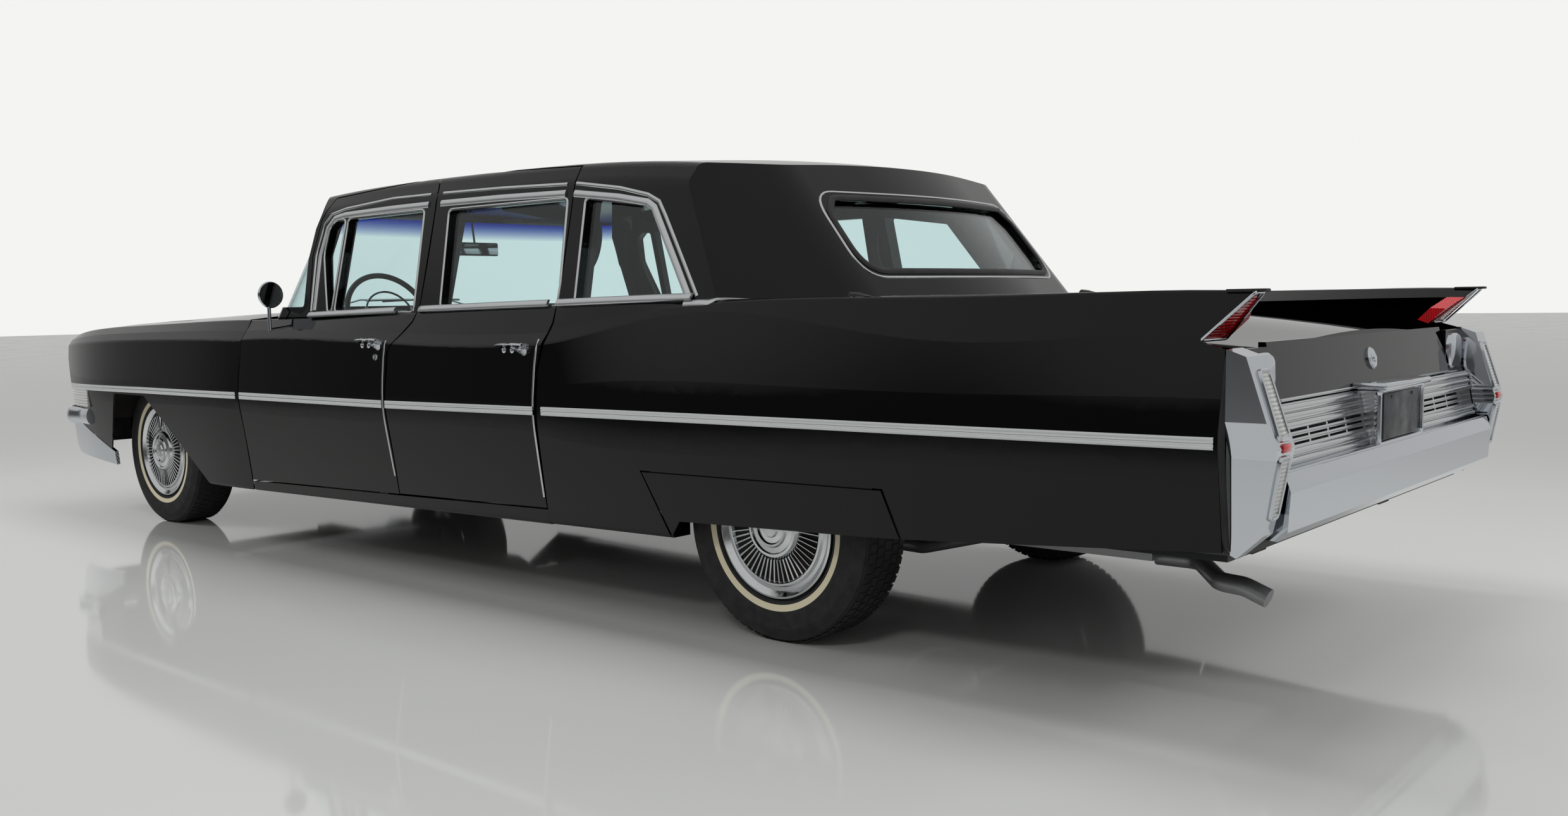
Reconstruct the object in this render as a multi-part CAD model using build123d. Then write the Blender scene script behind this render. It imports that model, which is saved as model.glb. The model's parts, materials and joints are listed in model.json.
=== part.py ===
from build123d import *
import math
import os

# A long four-door limousine of the early 1960s.
# Frame: +X is forward, +Y is the left side, +Z is up, millimetres.
# The origin lies on the ground, at mid length, on the centre line.

# Driving dimensions
LENGTH = 6192.0
WHEELBASE = 3803.0
FRONT_AXLE_X = 2212.0
REAR_AXLE_X = FRONT_AXLE_X - WHEELBASE
WHEEL_Y = 775.0
TYRE_RADIUS = 342.0
TYRE_WIDTH = 205.0
RIM_RADIUS = 190.0
HUB_Z = TYRE_RADIUS
PANEL_GAP = 6.0
SKIN = 10.0
SEAT = 0.3
SWING_GAP = 5.2
FIT = 0.05

# Greenhouse
WALL = 60.0
GLASS_DEPTH = 14.0
GLASS = 5.0
DOOR_FRAME = 34.0

# Door hinges: each axis is vertical, ahead of the door's front edge and inside the skin
HINGE_Y = 975.0
HINGE_AHEAD = 45.0
FRONT_DOOR_EDGE_X = 1209.5
REAR_DOOR_EDGE_X = 146.0
FRONT_HINGE_X = FRONT_DOOR_EDGE_X + HINGE_AHEAD
REAR_HINGE_X = REAR_DOOR_EDGE_X + HINGE_AHEAD
HINGE_SWEEP = 58.5
DOOR_INNER_Y = 905.0

# Body side sections, one row per station along the left side.
# Columns: x, then y and z of the sill edge, the widest line, the shoulder, the outer crest,
# the inner crest and the edge beside the hood or the trunk lid.
FRONT_SECTIONS = (
    (LENGTH / 2, 885, 238, 922, 625, 910, 828, 890, 856, 862, 878, 716, 896),
    (2900, 922, 238, 962, 628, 945, 840, 922, 872, 892, 900, 716, 920),
    (2500, 950, 238, 998, 633, 978, 855, 954, 890, 918, 922, 716, 940),
    (2000, 962, 238, 1010, 640, 990, 865, 966, 901, 928, 936, 716, 955),
    (1180, 964, 238, 1013, 642, 992, 868, 968, 905, 930, 952, 716, 970),
)
MIDDLE_SECTIONS = (
    (1280, 964, 238, 1013, 642, 992, 868, 968, 905, 930, 950, 716, 968),
    (200, 966, 258, 1014.5, 642, 994, 868, 970, 905, 932, 973, 716, 985),
    (-720, 968, 276, 1014.5, 652, 993, 872, 970, 907, 932, 990, 716, 1000),
    (-780, 968, 277, 1014.5, 652, 992, 876, 969, 910, 931, 991, 716, 1000),
)
REAR_SECTIONS = (
    (-660, 968, 276, 1014.5, 652, 993, 870, 970, 905, 932, 989, 716, 1000),
    (-1050, 967, 282, 1013, 656, 950, 930, 938, 960, 925, 997, 716, 1002),
    (-1370, 966, 288, 1012, 660, 937, 968, 928, 990, 915, 1003, 716, 990),
    (-2000, 962, 300, 1008, 668, 962, 912, 928, 1002, 914, 1006, 716, 945),
    (-2500, 955, 310, 1002, 672, 962, 893, 926, 1002, 912, 1006, 716, 905),
    (-3040, 944, 330, 990, 676, 954, 878, 921, 1000, 907, 1003, 716, 864),
)
SIDE_RADII = (20.0, 600.0, 26.0, 9.0, 9.0)
# How far each outline point moves inboard and down for one millimetre of skin
SKIN_SHIFT = ((1.0, 0.0), (1.0, 0.0), (1.0, 0.25), (0.9, 0.6), (0.6, 1.0), (0.0, 1.0))
OPEN_REACH = 60.0

# Greenhouse sections along the car.
# Columns: x, half width at the belt, half width and height at the glass top, half width and height
# at the shoulder, crown height
BELT_REF_Z = 925.0
ROOF_SECTIONS = (
    (1650, 936, 830, 1330, 780, 1392, 1428),
    (900, 938, 832, 1375, 786, 1440, 1484),
    (200, 939, 832, 1398, 790, 1464, 1522),
    (-500, 939, 832, 1398, 790, 1462, 1524),
    (-1150, 938, 832, 1372, 786, 1432, 1492),
    (-1600, 929, 822, 1310, 765, 1370, 1424),
    (-2000, 909, 800, 1226, 740, 1290, 1340),
)
ROOF_RADII = (90.0, 45.0, 6000.0, 45.0, 90.0)
# Plan outlines of the windscreen and back window, low and high.
# Columns: z, then x and y of the front middle corner pair and the rear corner pair
PLAN_LOW_Z = 985.0
PLAN_HIGH_Z = 1385.0
PLAN_LOW = ((1530, 0), (1370, 700), (985, 935), (-1420, 935), (-1760, 640), (-1885, 0))
PLAN_HIGH = ((1105, 0), (1020, 672), (790, 850), (-1215, 850), (-1435, 600), (-1550, 0))
PLAN_RADII = (1500.0, 230.0, 230.0, 150.0, 230.0, 1500.0)

# Side windows: corners in side view
# Columns: x, z
VENT_WINDOW = ((655, 990), (727, 1200), (715, 1310), (680, 1335), (622, 1335), (622, 990))
FRONT_WINDOW = ((590, 990), (590, 1338), (104, 1344), (78, 984))
REAR_WINDOW = ((-60, 1336), (-692, 1338), (-722, 1000), (-92, 1000))
QUARTER_WINDOW = ((-794, 1334), (-1100, 1292), (-1300, 1012), (-812, 1005))
BACK_WINDOW = ((-545, 1085), (-530, 1310), (530, 1310), (545, 1085))


# Body openings in side view, inside the doors' own outlines
FRONT_DOORWAY = ((740, 900), (780, 1190), (745, 1320), (680, 1400), (96, 1418), (96, 900))
REAR_DOORWAY = ((-66, 900), (-74, 1418), (-680, 1402), (-680, 900))
WINDSHIELD = ((1700, 1003), (824, 1003), (848, 1190), (828, 1320), (800, 1388), (1700, 1388))
PILLAR_FOOT_Z = 985.0

# Door outlines about their hinges. Columns: radius from the hinge axis, height
FRONT_DOOR = (
    (HINGE_SWEEP, 288), (1116, 313), (1113, 450), (1101, 642), (1108, 835), (1205, 945),
    (1216, 1000), (1232, 1472), (543, 1430), (482, 1345), (450, 1204), (482, 985),
    (482, 958), (HINGE_SWEEP, 956),
)
REAR_DOOR = (
    (HINGE_SWEEP, 315), (892, 334), (886, 500), (884, 760), (905, 850), (924, 940), (916, 1000),
    (924, 1448), (226, 1472), (165, 1000), (151, 941), (HINGE_SWEEP, 842),
)

# Door and lid hinges
HINGE_PIN = 6.0
HINGE_EYE = 12.0
HINGE_HEIGHTS = (545.0, 755.0)
POST_REACH = 24.0
FRONT_POST_X = FRONT_HINGE_X + POST_REACH
REAR_POST_X = REAR_HINGE_X + POST_REACH
NOTCH_X = 284.0
LID_HINGE_Y = 500.0

WINDOW_CORNER = 12.0

# Floor levels
FLOOR_Z = 335.0
FLOOR_TOP = 350.0
TRUNK_FLOOR_Z = 401.0
KICK_Z = 533.0
SILL_INNER_Y = 880.0
FRAME_BOTTOM = 255.0

# Lids
HOOD_HINGE = (1551.0, 930.0)
HOOD_SWEEP = 72.0
HOOD_STATIONS = ((1500, 967, 990), (2200, 950, 990), (2800, 925, 965), (3060, 902, 935))
COWL_STATIONS = ((1240, 966, 984), (1640, 964, 984))
TRUNK_HINGE = (-1995.0, 925.0)
TRUNK_SWEEP = 70.0
DECK_STATIONS = ((-1480, 980, 1010), (-1750, 963, 998), (-2090, 938, 976))
LID_FACE = ((-2950, 866), (-2950, 884), (-2968, 884), (-2999, 748), (-2982, 748))
TRUNK_STATIONS = ((-1990, 945, 983), (-2500, 905, 955), (-2968, 869, 902))
DECK_HALF = 716.0
LID_HALF = DECK_HALF - PANEL_GAP
LID_SHEET = 16.0

# Side outlines of the body panels. Columns: x, z
FENDER_OUTLINE = (
    (1100, 1150), (3088, 1150), (3092, 868), (3096, 760), (3012, 628), (2902, 628), (2902, 452),
    (2500, 326), (2500, 150), (1100, 150),
)
FRONT_ARCH = ((1556, 100), (1556, 241), (2084, 612), (2408, 612), (2548, 330), (2548, 100))
QUARTER_OUTLINE = (
    (-706, 1150), (-3032, 1150), (-3032, 1002), (-2912, 893), (-2972, 876), (-2972, 428),
    (-2118, 373), (-2069, 504), (-1162, 491), (-1268, 288), (-1268, 200), (-706, 200),
)
SKIRT_OUTLINE = ((-2063, 498), (-1170, 486), (-1272, 298), (-1309, 345), (-2016, 368), (-2110, 373))
SILL_OUTLINE = ((1262, 243), (1205, 282), (138, 307), (-690, 328), (-1262, 340), (-1262, 288))
SKIRT_FLANGE = ((-2030, 460), (-1200, 450), (-1200, 512), (-2030, 514))
POD_OUTLINE = (
    (-2975, 882), (-3030, 862), (-3096, 663), (-3060, 472), (-3000, 416), (-2975, 428),
)
POD_Y = (864.0, 984.0)
POD_FACE = ((893, 890), (982, 890), (984, 720), (966, 640), (946, 410), (904, 410), (866, 640), (868, 700))
TAIL_LAMP_OUTLINE = ((-3038, 1008), (-2912, 893), (-2880, 905), (-2990, 1016))
MIRROR_CENTRE = (1010.0, 966.0, 1054.0)

FRAME_JOINT_X = -2060.0
# Rear frame rail in side view, raised over the axle. Columns: x, z
REAR_RAIL = (
    (-1062, FRAME_BOTTOM), (-1062, FLOOR_Z), (-1262, KICK_Z), (-1946, KICK_Z), (-2048, TRUNK_FLOOR_Z),
    (-2880, TRUNK_FLOOR_Z), (-2880, 352), (-2085, 325), (-1990, 445), (-1290, 445),
    (-1110, FRAME_BOTTOM),
)

# Floor in side view, from the firewall over the axle to the tail. Columns: x, z
FLOOR_OUTLINE = (
    (1236, FLOOR_Z), (1236, FLOOR_TOP), (-1056, FLOOR_TOP), (-1256, KICK_Z + 15),
    (-1952, KICK_Z + 15), (-2054, TRUNK_FLOOR_Z + 15), (-2970, TRUNK_FLOOR_Z + 15),
    (-2970, TRUNK_FLOOR_Z), (-2048, TRUNK_FLOOR_Z), (-1946, KICK_Z), (-1262, KICK_Z),
    (-1062, FLOOR_Z),
)

# Running gear
SPINDLE = 20.0
KINGPIN_Y = 700.0
KINGPIN = 10.0
KNUCKLE_Z = (232.0, 452.0)
ARM_THICK = 22.0
EXHAUST_FRONT = ((1700, 300, 227), (-1250, 300, 227), (-1800, 410, 240), (-2130, 395, 325))
EXHAUST_TAIL = (
    (-2560, 395, 290), (-2680, 395, 290), (-2830, 620, 290), (-2900, 640, 290),
    (-2958, 640, 268),
)

# Bench seats in side view. Columns: x, z
SEAT_HALF = 700.0
SEAT_CORNER = 20.0
FRONT_CUSHION = ((600, FLOOR_TOP), (620, 610), (120, 580), (110, FLOOR_TOP))
FRONT_BACKREST = ((170, 560), (60, 1000), (-30, 1000), (20, 500), (110, FLOOR_TOP), (160, FLOOR_TOP))
REAR_CUSHION = ((-560, FLOOR_TOP), (-540, 620), (-1150, 590), (-1050, FLOOR_TOP))
REAR_BACKREST = ((-1060, 570), (-1230, 1000), (-1340, 1000), (-1240, 560))

# Steering column
STEER_CENTRE = (985.0, 420.0, 950.0)
STEER_AIM = (-0.92, 0.0, 0.39)
COLUMN_RADIUS = 30.0

# Thin openings in the tail panel: rows by height, columns by distance from the middle
LOUVRE_ROWS = 3
LOUVRE_Z = 646.0
LOUVRE_PITCH_Z = 15.0
LOUVRE_COLUMNS = 4
LOUVRE_FIRST_Y = 260.0
LOUVRE_PITCH_Y = 130.0

# Front lamps
LAMP_Y = (620.0, 790.0)
LAMP_Z = 760.0


def side_prism(corners, y_low, y_high, radius=0.0):
    """Extrude a side-view outline, corners in x and z, from y_low to y_high."""
    outline = make_face(FilletPolyline(*corners, radius=radius, close=True))
    return Pos(0, y_high, 0) * extrude(Plane.XZ * outline, amount=y_high - y_low)


def front_prism(corners, x_low, x_high, radius=0.0):
    """Extrude a front-view outline, corners in y and z, from x_low to x_high."""
    outline = make_face(FilletPolyline(*corners, radius=radius, close=True))
    return Pos(x_low, 0, 0) * extrude(Plane.YZ * outline, amount=x_high - x_low)


def plan_prism(corners, z_low, z_high, radius=0.0):
    """Extrude a plan outline, corners in x and y, from z_low to z_high."""
    outline = make_face(FilletPolyline(*corners, radius=radius, close=True))
    return Pos(0, 0, z_low) * extrude(outline, amount=z_high - z_low)


def block(x_range, y_range, z_range):
    """A box between two limits on each axis."""
    size = [limits[1] - limits[0] for limits in (x_range, y_range, z_range)]
    middle = [(limits[0] + limits[1]) / 2 for limits in (x_range, y_range, z_range)]
    return Pos(*middle) * Box(*size)


def station_plane(x):
    """A plane across the car at x, with y and z as its own axes."""
    return Plane(origin=(x, 0, 0), x_dir=(0, 1, 0), z_dir=(1, 0, 0))


def side_volume(sections, inset=0.0):
    """Loft one stretch of the left body side, full depth, or its copy moved in by inset."""
    faces = []
    for row in sections:
        pairs = [(row[i], row[i + 1]) for i in range(1, len(row), 2)]
        points = [
            (y - inset * shift[0], z - inset * shift[1])
            for (y, z), shift in zip(pairs, SKIN_SHIFT)
        ]
        reach = OPEN_REACH if inset else 0.0
        points[0] = (points[0][0], points[0][1] - reach)
        points[-1] = (points[-1][0] - reach, points[-1][1])
        points.append((points[-1][0], points[0][1]))
        radii = list(SIDE_RADII) + [0.0, 0.0]
        if inset:
            radii[0] = 0.0
            radii[3:5] = [SIDE_RADII[3] - 0.35 * inset] * 2
        outline = make_face(FilletPolyline(*points, radius=radii, close=True))
        faces.append(station_plane(row[0]) * outline)
    return loft(faces)


def greenhouse(inset=0.0):
    """The closed volume above the belt, with its walls and roof moved in by inset."""
    faces = []
    for x, belt_y, glass_y, glass_z, shoulder_y, shoulder_z, crown_z in ROOF_SECTIONS:
        half = (
            (belt_y - inset, BELT_REF_Z),
            (glass_y - inset, glass_z - 0.4 * inset),
            (shoulder_y - inset, shoulder_z - inset),
        )
        points = list(half) + [(0, crown_z - inset)] + [(-y, z) for y, z in reversed(half)]
        radii = [0.0] + list(ROOF_RADII) + [0.0]
        outline = make_face(FilletPolyline(*points, radius=radii, close=True))
        faces.append(station_plane(x) * outline)
    body = loft(faces)
    return body & plan_envelope(inset)


def plan_envelope(inset):
    """Windscreen and back-window cone, from below the belt to above the roof."""
    faces = []
    for z in (900.0, 1600.0):
        share = (z - PLAN_LOW_Z) / (PLAN_HIGH_Z - PLAN_LOW_Z)
        half = []
        for (x_low, y_low), (x_high, y_high) in zip(PLAN_LOW, PLAN_HIGH):
            x = x_low + share * (x_high - x_low)
            y = y_low + share * (y_high - y_low)
            inward = inset if x > 0 else -inset
            half.append((x - inward, y - inset if y else 0))
        points = half + [(x, -y) for x, y in reversed(half[1:-1])]
        radii = list(PLAN_RADII) + list(reversed(PLAN_RADII[1:-1]))
        outline = make_face(FilletPolyline(*points, radius=radii, close=True))
        faces.append(Pos(0, 0, z) * outline)
    return loft(faces, ruled=True)


def mirrored(shape):
    """The same shape on the other side of the car."""
    return mirror(shape, about=Plane.XZ)


def both_sides(shape):
    """The shape and its mirror copy, as separate solids of one piece."""
    return Compound(children=[*shape.solids(), *mirrored(shape).solids()])


def upright_tube(x, y, z_range, radius, bore=0.0):
    """A vertical rod, or a tube where a bore is given."""
    height = z_range[1] - z_range[0]
    rod = Cylinder(radius, height)
    if bore:
        rod -= Cylinder(bore, height)
    return Pos(x, y, (z_range[0] + z_range[1]) / 2) * rod


def cross_tube(x, z, y_range, radius, bore=0.0):
    """A rod across the car, or a tube where a bore is given."""
    length = y_range[1] - y_range[0]
    rod = Cylinder(radius, length)
    if bore:
        rod -= Cylinder(bore, length)
    return Pos(x, (y_range[0] + y_range[1]) / 2, z) * (Rot(90, 0, 0) * rod)


def long_tube(start, end, radius, bore=0.0):
    """A straight rod between two points, or a tube where a bore is given."""
    path = Vector(*end) - Vector(*start)
    plane = Plane(origin=start, z_dir=path.normalized())
    ring = Circle(radius) - Circle(bore) if bore else Circle(radius)
    return extrude(plane * ring, amount=path.length)


def turned(profile, x, z, y_side=1.0):
    """Revolve a profile of (radius, y) points about the axle line through x and z."""
    plane = Plane(origin=(x, 0, z), x_dir=(0, 0, 1), z_dir=(1, 0, 0))
    corners = [(radius, -y * y_side) for radius, y in profile]
    return revolve(plane * make_face(Polyline(*corners, close=True)), Axis((x, 0, z), (0, 1, 0)))


def swing_volume(hinge_x, profile, grow=0.0):
    """What a door sweeps: its outline as radius and height, turned about its own hinge axis."""
    outline = make_face(Polyline(*profile, close=True))
    if grow:
        outline = offset(outline, amount=grow, kind=Kind.INTERSECTION)
    plane = Plane(origin=(hinge_x, HINGE_Y, 0), x_dir=(0, 1, 0), z_dir=(1, 0, 0))
    return revolve(plane * outline, Axis((hinge_x, HINGE_Y, 0), (0, 0, 1)), 180)


def crowned_volume(stations, half_width, skirt, inset=0.0):
    """A lid without its hollow. Columns of a station: x, height at the edge, height at the crown."""
    faces = []
    for x, edge_z, crown_z in stations:
        width = half_width - inset
        rise = crown_z - edge_z
        foot = edge_z - skirt - (OPEN_REACH if inset else 0.0)
        points = (
            (width, foot), (width, edge_z - inset), (0, crown_z - inset),
            (-width, edge_z - inset), (-width, foot),
        )
        crown_radius = 0.85 * width * width / (2 * rise)
        outline = FilletPolyline(*points, radius=(0, 8, crown_radius, 8, 0), close=True)
        faces.append(station_plane(x) * make_face(outline))
    return loft(faces)


def crowned_panel(stations, half_width, thickness, skirt):
    """A pan-shaped lid with a skirt down each long side."""
    hollow = crowned_volume(stations, half_width, skirt, thickness)
    return crowned_volume(stations, half_width, skirt) - hollow


def save(shape, name):
    """Write one named piece, as a solid or as solids that share a node."""
    solids = shape.solids()
    piece = solids[0] if len(solids) == 1 else Compound(children=solids)
    piece.label = name
    export_step(piece, os.path.join("parts", name + ".step"))


# Closed volumes that several pieces are cut from
SHELLS = {inset: greenhouse(inset) for inset in (0.0, GLASS_DEPTH, GLASS_DEPTH + GLASS, DOOR_FRAME, WALL)}
FRONT_SIDE = side_volume(FRONT_SECTIONS)
FRONT_SIDE_INNER = side_volume(FRONT_SECTIONS, SKIN)
MIDDLE_SIDE = side_volume(MIDDLE_SECTIONS)
REAR_SIDE = side_volume(REAR_SECTIONS)
REAR_SIDE_INNER = side_volume(REAR_SECTIONS, SKIN)
GLASS_SHEET = SHELLS[GLASS_DEPTH] - SHELLS[GLASS_DEPTH + GLASS]
DOOR_WALL = (SHELLS[0.0] & block((-900, 1300), (742, 1100), (BELT_REF_Z, 1600))) - SHELLS[DOOR_FRAME]
DOOR_WALL -= block((-900, 1300), (700, 885), (900, 970))
PANE_SHEET = GLASS_SHEET & block((-1400, 900), (650, 1100), (950, 1450))
FRONT_OPENING = swing_volume(FRONT_HINGE_X, FRONT_DOOR, SWING_GAP)
REAR_OPENING = swing_volume(REAR_HINGE_X, REAR_DOOR, SWING_GAP)
def hinge_arm(hinge_x, z):
    """Gooseneck strap from a door's slab round to its hinge pin, at one height."""
    strap = block((hinge_x - 66, hinge_x + 8), (HINGE_Y - 60, HINGE_Y - 44), (z - 27, z + 27))
    strap += block((hinge_x - 8, hinge_x + 8), (HINGE_Y - 60, HINGE_Y - 9), (z - 27, z + 27))
    eye = upright_tube(hinge_x, HINGE_Y, (z - 27, z + 27), HINGE_EYE)
    return (strap + eye) - upright_tube(hinge_x, HINGE_Y, (z - 40, z + 40), HINGE_PIN + FIT)


def hinge_lugs(hinge_x, post_x, z):
    """Pin and its two lugs, reaching from a body post to the door's axis."""
    lugs = upright_tube(hinge_x, HINGE_Y, (z - 42, z + 42), HINGE_PIN)
    for low in (z - 42, z + 27 + SEAT):
        lugs += block((hinge_x - 8, post_x), (HINGE_Y - 9, HINGE_Y + 9), (low, low + 15 - SEAT))
    return lugs


def left_door(hinge_x, profile, windows):
    """One left door: thick lower slab, window frame above and two hinge arms."""
    slab = MIDDLE_SIDE & block((-900, 1400), (DOOR_INNER_Y, 1100), (200, 1010))
    body = (slab + DOOR_WALL) & swing_volume(hinge_x, profile)
    for outline in windows:
        body -= side_prism(outline, 500, 1100, WINDOW_CORNER)
    for height in HINGE_HEIGHTS:
        body += hinge_arm(hinge_x, height)
    return body


def front_left_door():
    """The front door, notched behind its skin for the centre post and the rear door's hinges."""
    body = left_door(FRONT_HINGE_X, FRONT_DOOR, (VENT_WINDOW, FRONT_WINDOW))
    body -= REAR_OPENING
    hollow = side_volume(MIDDLE_SECTIONS, SKIN) & block((60, NOTCH_X), (860, 1100), (220, 842))
    body -= hollow
    return max(body.solids(), key=lambda solid: solid.volume)


def rear_left_door():
    """The rear door."""
    body = left_door(REAR_HINGE_X, REAR_DOOR, (REAR_WINDOW,))
    return max(body.solids(), key=lambda solid: solid.volume)


def pane(outline):
    """A side pane that fills one window opening of the left side."""
    return PANE_SHEET & side_prism(outline, 500, 1100, WINDOW_CORNER)


def roof():
    """Roof, pillars and rails in one shell, cut for doors, glass and the body below."""
    shell = SHELLS[0.0] - SHELLS[WALL]
    recess = (FRONT_OPENING + REAR_OPENING) & block((-900, 1300), (735, 1100), (900, 1500))
    recess -= greenhouse(DOOR_FRAME + PANEL_GAP)
    shell -= recess
    shell -= mirrored(recess)
    for outline in (FRONT_DOORWAY, REAR_DOORWAY, QUARTER_WINDOW, WINDSHIELD):
        shell -= side_prism(outline, -1100, 1100, WINDOW_CORNER)
    shell -= front_prism(BACK_WINDOW, -2100, -1150, 60.0)
    shell -= block((690, 1700), (-1100, 1100), (800, PILLAR_FOOT_Z))
    shell -= block((-700, 690), (-1100, 1100), (800, PILLAR_FOOT_Z))
    shell -= REAR_SIDE
    shell -= mirrored(REAR_SIDE)
    shell -= crowned_volume(DECK_STATIONS, DECK_HALF, 200)
    return max(shell.solids(), key=lambda solid: solid.volume)


def cowl():
    """Cowl top, windscreen ledge, firewall and the two front posts."""
    ledge = SHELLS[0.0] & block((775, 1600), (-1000, 1000), (930, PILLAR_FOOT_Z))
    ledge -= block((700, 1240), (-790, 790), (900, 1000))
    ledge -= FRONT_OPENING
    ledge -= mirrored(FRONT_OPENING)
    top = crowned_panel(COWL_STATIONS, DECK_HALF, LID_SHEET, 60)
    reach = block((1200, HOOD_HINGE[0]), (-800, 800), (800, 1100))
    reach += cross_tube(*HOOD_HINGE, (-800, 800), HOOD_SWEEP - PANEL_GAP)
    top &= reach
    body = ledge + top + lid_lugs(HOOD_HINGE, LID_HINGE_Y) + lid_lugs(HOOD_HINGE, -LID_HINGE_Y)
    body += block((1236, 1262), (-DECK_HALF, DECK_HALF), (FLOOR_Z, 960))
    body -= block((1200, 1300), (-165, 165), (300, 520))
    for side in (1, -1):
        post = block((FRONT_POST_X, 1345), (790, 968), (FLOOR_TOP, 890))
        post += FRONT_SIDE_INNER & block((FRONT_POST_X + 30, 1345), (790, 1100), (FLOOR_TOP, 880))
        post += block((1236, 1345), (700, 800), (FLOOR_TOP, 935))
        for height in HINGE_HEIGHTS:
            post += hinge_lugs(FRONT_HINGE_X, FRONT_POST_X + 20, height)
        body += post if side > 0 else mirrored(post)
    skin = FRONT_SIDE - FRONT_SIDE_INNER
    body -= skin
    body -= mirrored(skin)
    return body - column_bore()


def fender_left():
    """Front fender skin, open round the wheel and ahead of the door hinges."""
    keep = block((FRONT_HINGE_X, 3200), (600, 1100), (100, 1150))
    keep += upright_tube(FRONT_HINGE_X, HINGE_Y, (100, 1150), HINGE_SWEEP - SWING_GAP)
    skin = (FRONT_SIDE - FRONT_SIDE_INNER) & keep & side_prism(FENDER_OUTLINE, 600, 1100)
    skin -= side_prism(FRONT_ARCH, 600, 1100)
    return skin


def quarter_left():
    """Rear quarter skin with its fin, open round the wheel."""
    skin = (REAR_SIDE - REAR_SIDE_INNER) & side_prism(QUARTER_OUTLINE, 600, 1100)
    skin -= REAR_OPENING
    return max(skin.solids(), key=lambda solid: solid.volume)


def skirt_left():
    """Removable skirt over the rear wheel."""
    skin = (REAR_SIDE - REAR_SIDE_INNER) & side_prism(SKIRT_OUTLINE, 600, 1100)
    flange = REAR_SIDE_INNER & side_prism(SKIRT_FLANGE, 966, 1100)
    return skin + flange


def sill_left():
    """Sill, centre post with the rear door's hinge lugs, and the post behind the rear door."""
    sill = MIDDLE_SIDE & side_prism(SILL_OUTLINE, SILL_INNER_Y, 1100)
    sill &= block((-706, 1262), (SILL_INNER_Y, 1100), (200, 400))
    sill -= block((1196, 1300), (950, 1100), (200, 400))
    rear = REAR_SIDE_INNER & side_prism(SILL_OUTLINE, SILL_INNER_Y, 950)
    rear &= block((-1262, -706), (SILL_INNER_Y, 1100), (250, 400))
    body = sill + rear
    body += block((-66, 272), (835, 884), (FLOOR_TOP, PILLAR_FOOT_Z))
    body += block((-66, 272), (880, 897), (300, 500))
    body += block((REAR_POST_X, 272), (880, 968), (300, 815))
    body += block((-770, -714), (835, 884), (FLOOR_TOP, PILLAR_FOOT_Z - 5))
    body += REAR_SIDE_INNER & block((-770, -714), (880, 1100), (300, 740))
    for height in HINGE_HEIGHTS:
        body += hinge_lugs(REAR_HINGE_X, REAR_POST_X + 10, height)
    return body


def deck_panel():
    """Fixed panel between the back window and the trunk lid."""
    panel = crowned_panel(DECK_STATIONS, DECK_HALF, LID_SHEET, 60)
    reach = block((TRUNK_HINGE[0], -1000), (-800, 800), (700, 1100))
    reach += cross_tube(*TRUNK_HINGE, (-800, 800), TRUNK_SWEEP - PANEL_GAP)
    panel &= reach
    return panel + lid_lugs(TRUNK_HINGE, LID_HINGE_Y) + lid_lugs(TRUNK_HINGE, -LID_HINGE_Y)


def lid_arm(hinge, side_y, forward, underside):
    """Gooseneck arm from a lid's underside round to its cross pin."""
    x, z = hinge
    step = 1 if forward else -1
    arm = block(sorted((x - 8 * step, x + 8 * step)), (side_y - 8, side_y + 8), (z - 58, z - 9))
    arm += block(sorted((x - 8 * step, x + 110 * step)), (side_y - 8, side_y + 8), (z - 58, z - 44))
    arm += block(sorted((x + 94 * step, x + 110 * step)), (side_y - 8, side_y + 8), (z - 58, underside))
    arm += cross_tube(x, z, (side_y - 8, side_y + 8), HINGE_EYE)
    return arm - cross_tube(x, z, (side_y - 20, side_y + 20), HINGE_PIN + FIT)


def lid_lugs(hinge, side_y):
    """Cross pin with the two tabs that hang it under the fixed panel."""
    x, z = hinge
    lugs = cross_tube(x, z, (side_y - 22, side_y + 22), HINGE_PIN)
    for low in (side_y - 22, side_y + 8 + SEAT):
        lugs += block((x - 8, x + 8), (low, low + 14 - SEAT), (z - 9, z + 30))
    return lugs


def hood():
    """Hood with its two hinge arms."""
    panel = crowned_panel(HOOD_STATIONS, LID_HALF, LID_SHEET, 40)
    panel -= cross_tube(*HOOD_HINGE, (-800, 800), HOOD_SWEEP)
    panel &= block((HOOD_HINGE[0], 3200), (-800, 800), (700, 1100))
    for y in (LID_HINGE_Y, -LID_HINGE_Y):
        panel += lid_arm(HOOD_HINGE, y, True, 958)
    return panel


def trunk_lid():
    """Trunk lid, turned down at the tail, with its two hinge arms."""
    panel = crowned_panel(TRUNK_STATIONS, LID_HALF, LID_SHEET, 40)
    panel -= cross_tube(*TRUNK_HINGE, (-800, 800), TRUNK_SWEEP)
    panel &= block((-3200, TRUNK_HINGE[0]), (-800, 800), (700, 1100))
    panel += side_prism(LID_FACE, -LID_HALF, LID_HALF)
    for y in (LID_HINGE_Y, -LID_HINGE_Y):
        panel += lid_arm(TRUNK_HINGE, y, False, 945)
    return panel


def tyre(x, side):
    """Tyre section turned about its axle."""
    inner = WHEEL_Y - TYRE_WIDTH / 2
    outer = WHEEL_Y + TYRE_WIDTH / 2
    profile = (
        (RIM_RADIUS, inner + 20), (214, inner + 8), (265, inner + 1), (300, inner), (332, inner + 12),
        (TYRE_RADIUS, inner + 34), (TYRE_RADIUS, outer - 34), (332, outer - 12), (300, outer),
        (265, outer - 1), (222, outer - 8), (216, outer - 20), (RIM_RADIUS, outer - 22),
    )
    return turned(profile, x, HUB_Z, side)


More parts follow.
